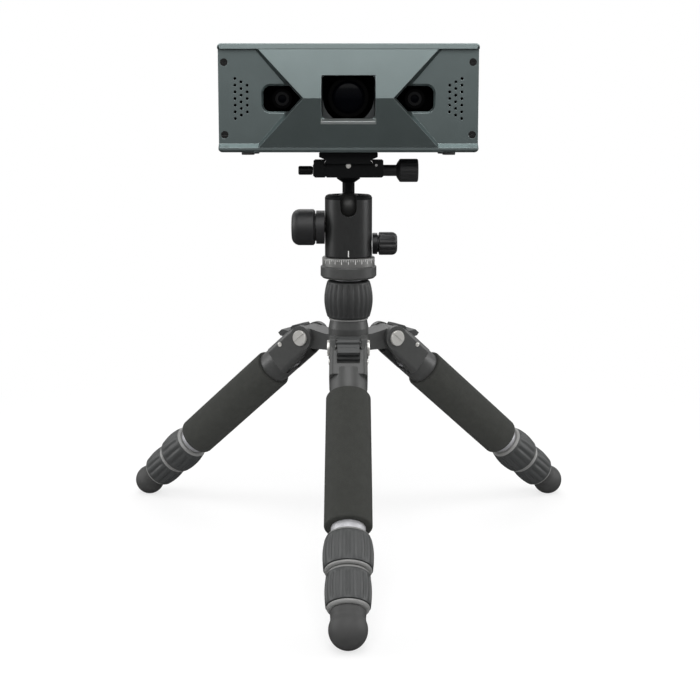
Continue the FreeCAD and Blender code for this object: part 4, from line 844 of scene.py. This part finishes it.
def studio():
    """White for the camera; for light and gloss a sky that dims at the horizon and zenith."""
    scene = bpy.context.scene
    scene.view_settings.view_transform = "Standard"
    world = bpy.data.worlds.new("studio")
    scene.world = world
    world.use_nodes = True
    tree = world.node_tree
    tree.nodes.clear()
    way = node(tree, "ShaderNodeTexCoord")["Generated"]
    rise = node(tree, "ShaderNodeSeparateXYZ", None, {0: way})["Z"]
    share = node(tree, "ShaderNodeMapRange", None,
                 {"Value": rise, "From Min": sky_dark_rise, "From Max": sky_light_rise})["Result"]
    fall = node(tree, "ShaderNodeMapRange", None,
                {"Value": rise, "From Min": sky_light_rise, "From Max": 1.0})["Result"]
    dim, light, top, white = (
        node(tree, "ShaderNodeBackground", None,
             {"Color": (1, 1, 1, 1), "Strength": strength})["Background"]
        for strength in (sky_dark, sky_light, sky_top, 1.0))
    sky = node(tree, "ShaderNodeMixShader", None, {0: share, 1: dim, 2: light})["Shader"]
    sky = node(tree, "ShaderNodeMixShader", None, {0: fall, 1: sky, 2: top})["Shader"]
    shader = node(tree, "ShaderNodeMixShader", None, {0: seen_straight(tree), 1: sky, 2: white})
    node(tree, "ShaderNodeOutputWorld", None, {"Surface": shader["Shader"]})

    floor_mesh = bpy.data.meshes.new("floor")
    half = floor_half
    floor_mesh.from_pydata([(-half, -half, 0), (half, -half, 0), (half, half, 0),
                            (-half, half, 0)], [], [(0, 1, 2, 3)])
    floor = bpy.data.objects.new("floor", floor_mesh)
    scene.collection.objects.link(floor)
    material, tree = empty_material("pale_floor")
    seen = seen_straight(tree)
    place = node(tree, "ShaderNodeTexCoord")["Object"]
    away = node(tree, "ShaderNodeVectorMath", {"operation": "LENGTH"}, {0: place})["Value"]
    far = node(tree, "ShaderNodeMapRange", {"interpolation_type": "SMOOTHSTEP"},
               {"Value": away, "From Min": floor_fade_start,
                "From Max": floor_fade_end})["Result"]
    matt, dull, deep = (node(tree, "ShaderNodeBsdfDiffuse", None,
                             {"Color": (tone, tone, tone, 1)})["BSDF"]
                        for tone in (floor_seen, floor_bounce, floor_gloss))
    glow = node(tree, "ShaderNodeEmission", None,
                {"Color": (1, 1, 1, 1), "Strength": 1.0})["Emission"]
    gloss = node(tree, "ShaderNodeLightPath")["Is Glossy Ray"]
    unseen = node(tree, "ShaderNodeMixShader", None, {0: gloss, 1: dull, 2: deep})["Shader"]
    paper = node(tree, "ShaderNodeMixShader", None, {0: seen, 1: unseen, 2: matt})["Shader"]
    shader = node(tree, "ShaderNodeMixShader", None,
                  {0: seen * (0.7 + far * 0.3), 1: paper, 2: glow})["Shader"]
    node(tree, "ShaderNodeOutputMaterial", None, {"Surface": shader})
    floor_mesh.materials.append(material)


def seen_straight(tree):
    """1 where the camera sees a surface itself or through glass, 0 for gloss and bounces."""
    path = node(tree, "ShaderNodeLightPath")
    return node(tree, "ShaderNodeMath", {"operation": "MAXIMUM"},
                {0: path["Is Camera Ray"], 1: path["Is Transmission Ray"]})["Value"]


def soft_lamp(name, place, aim, width, height, power):
    """Rectangular lamp at a place that shines on an aim."""
    lamp = bpy.data.lights.new(name, "AREA")
    lamp.shape = "RECTANGLE"
    lamp.size = width
    lamp.size_y = height
    lamp.energy = power
    made = bpy.data.objects.new(name, lamp)
    made.location = place
    made.rotation_euler = (Vector(aim) - Vector(place)).to_track_quat("-Z", "Y").to_euler()
    bpy.context.scene.collection.objects.link(made)


studio()
middle = (0.0, 0.05, 0.22)
soft_lamp("front_top_lamp", (0.0, -1.5, 1.5), middle, 1.6, 0.8, 12.0)
soft_lamp("top_lamp", (0.0, -0.35, 1.7), (0.0, -0.1, 0.0), 1.1, 0.9, 10.0)
soft_lamp("left_lamp", (-1.5, 0.1, 0.7), middle, 0.6, 1.2, 9.0)
soft_lamp("right_lamp", (1.5, 0.1, 0.7), middle, 0.6, 1.2, 9.0)
soft_lamp("back_lamp", (0.0, 1.2, 1.3), middle, 1.4, 0.8, 8.0)

lens = bpy.data.cameras.new("camera")
lens.lens = 57.83
lens.sensor_width = 36
lens.shift_y = -0.1134
camera = bpy.data.objects.new("camera", lens)
camera.location = (0.0012, -0.84676, 0.32938)
camera.rotation_euler = (math.radians(83), 0, 0)
bpy.context.scene.collection.objects.link(camera)
bpy.context.scene.camera = camera
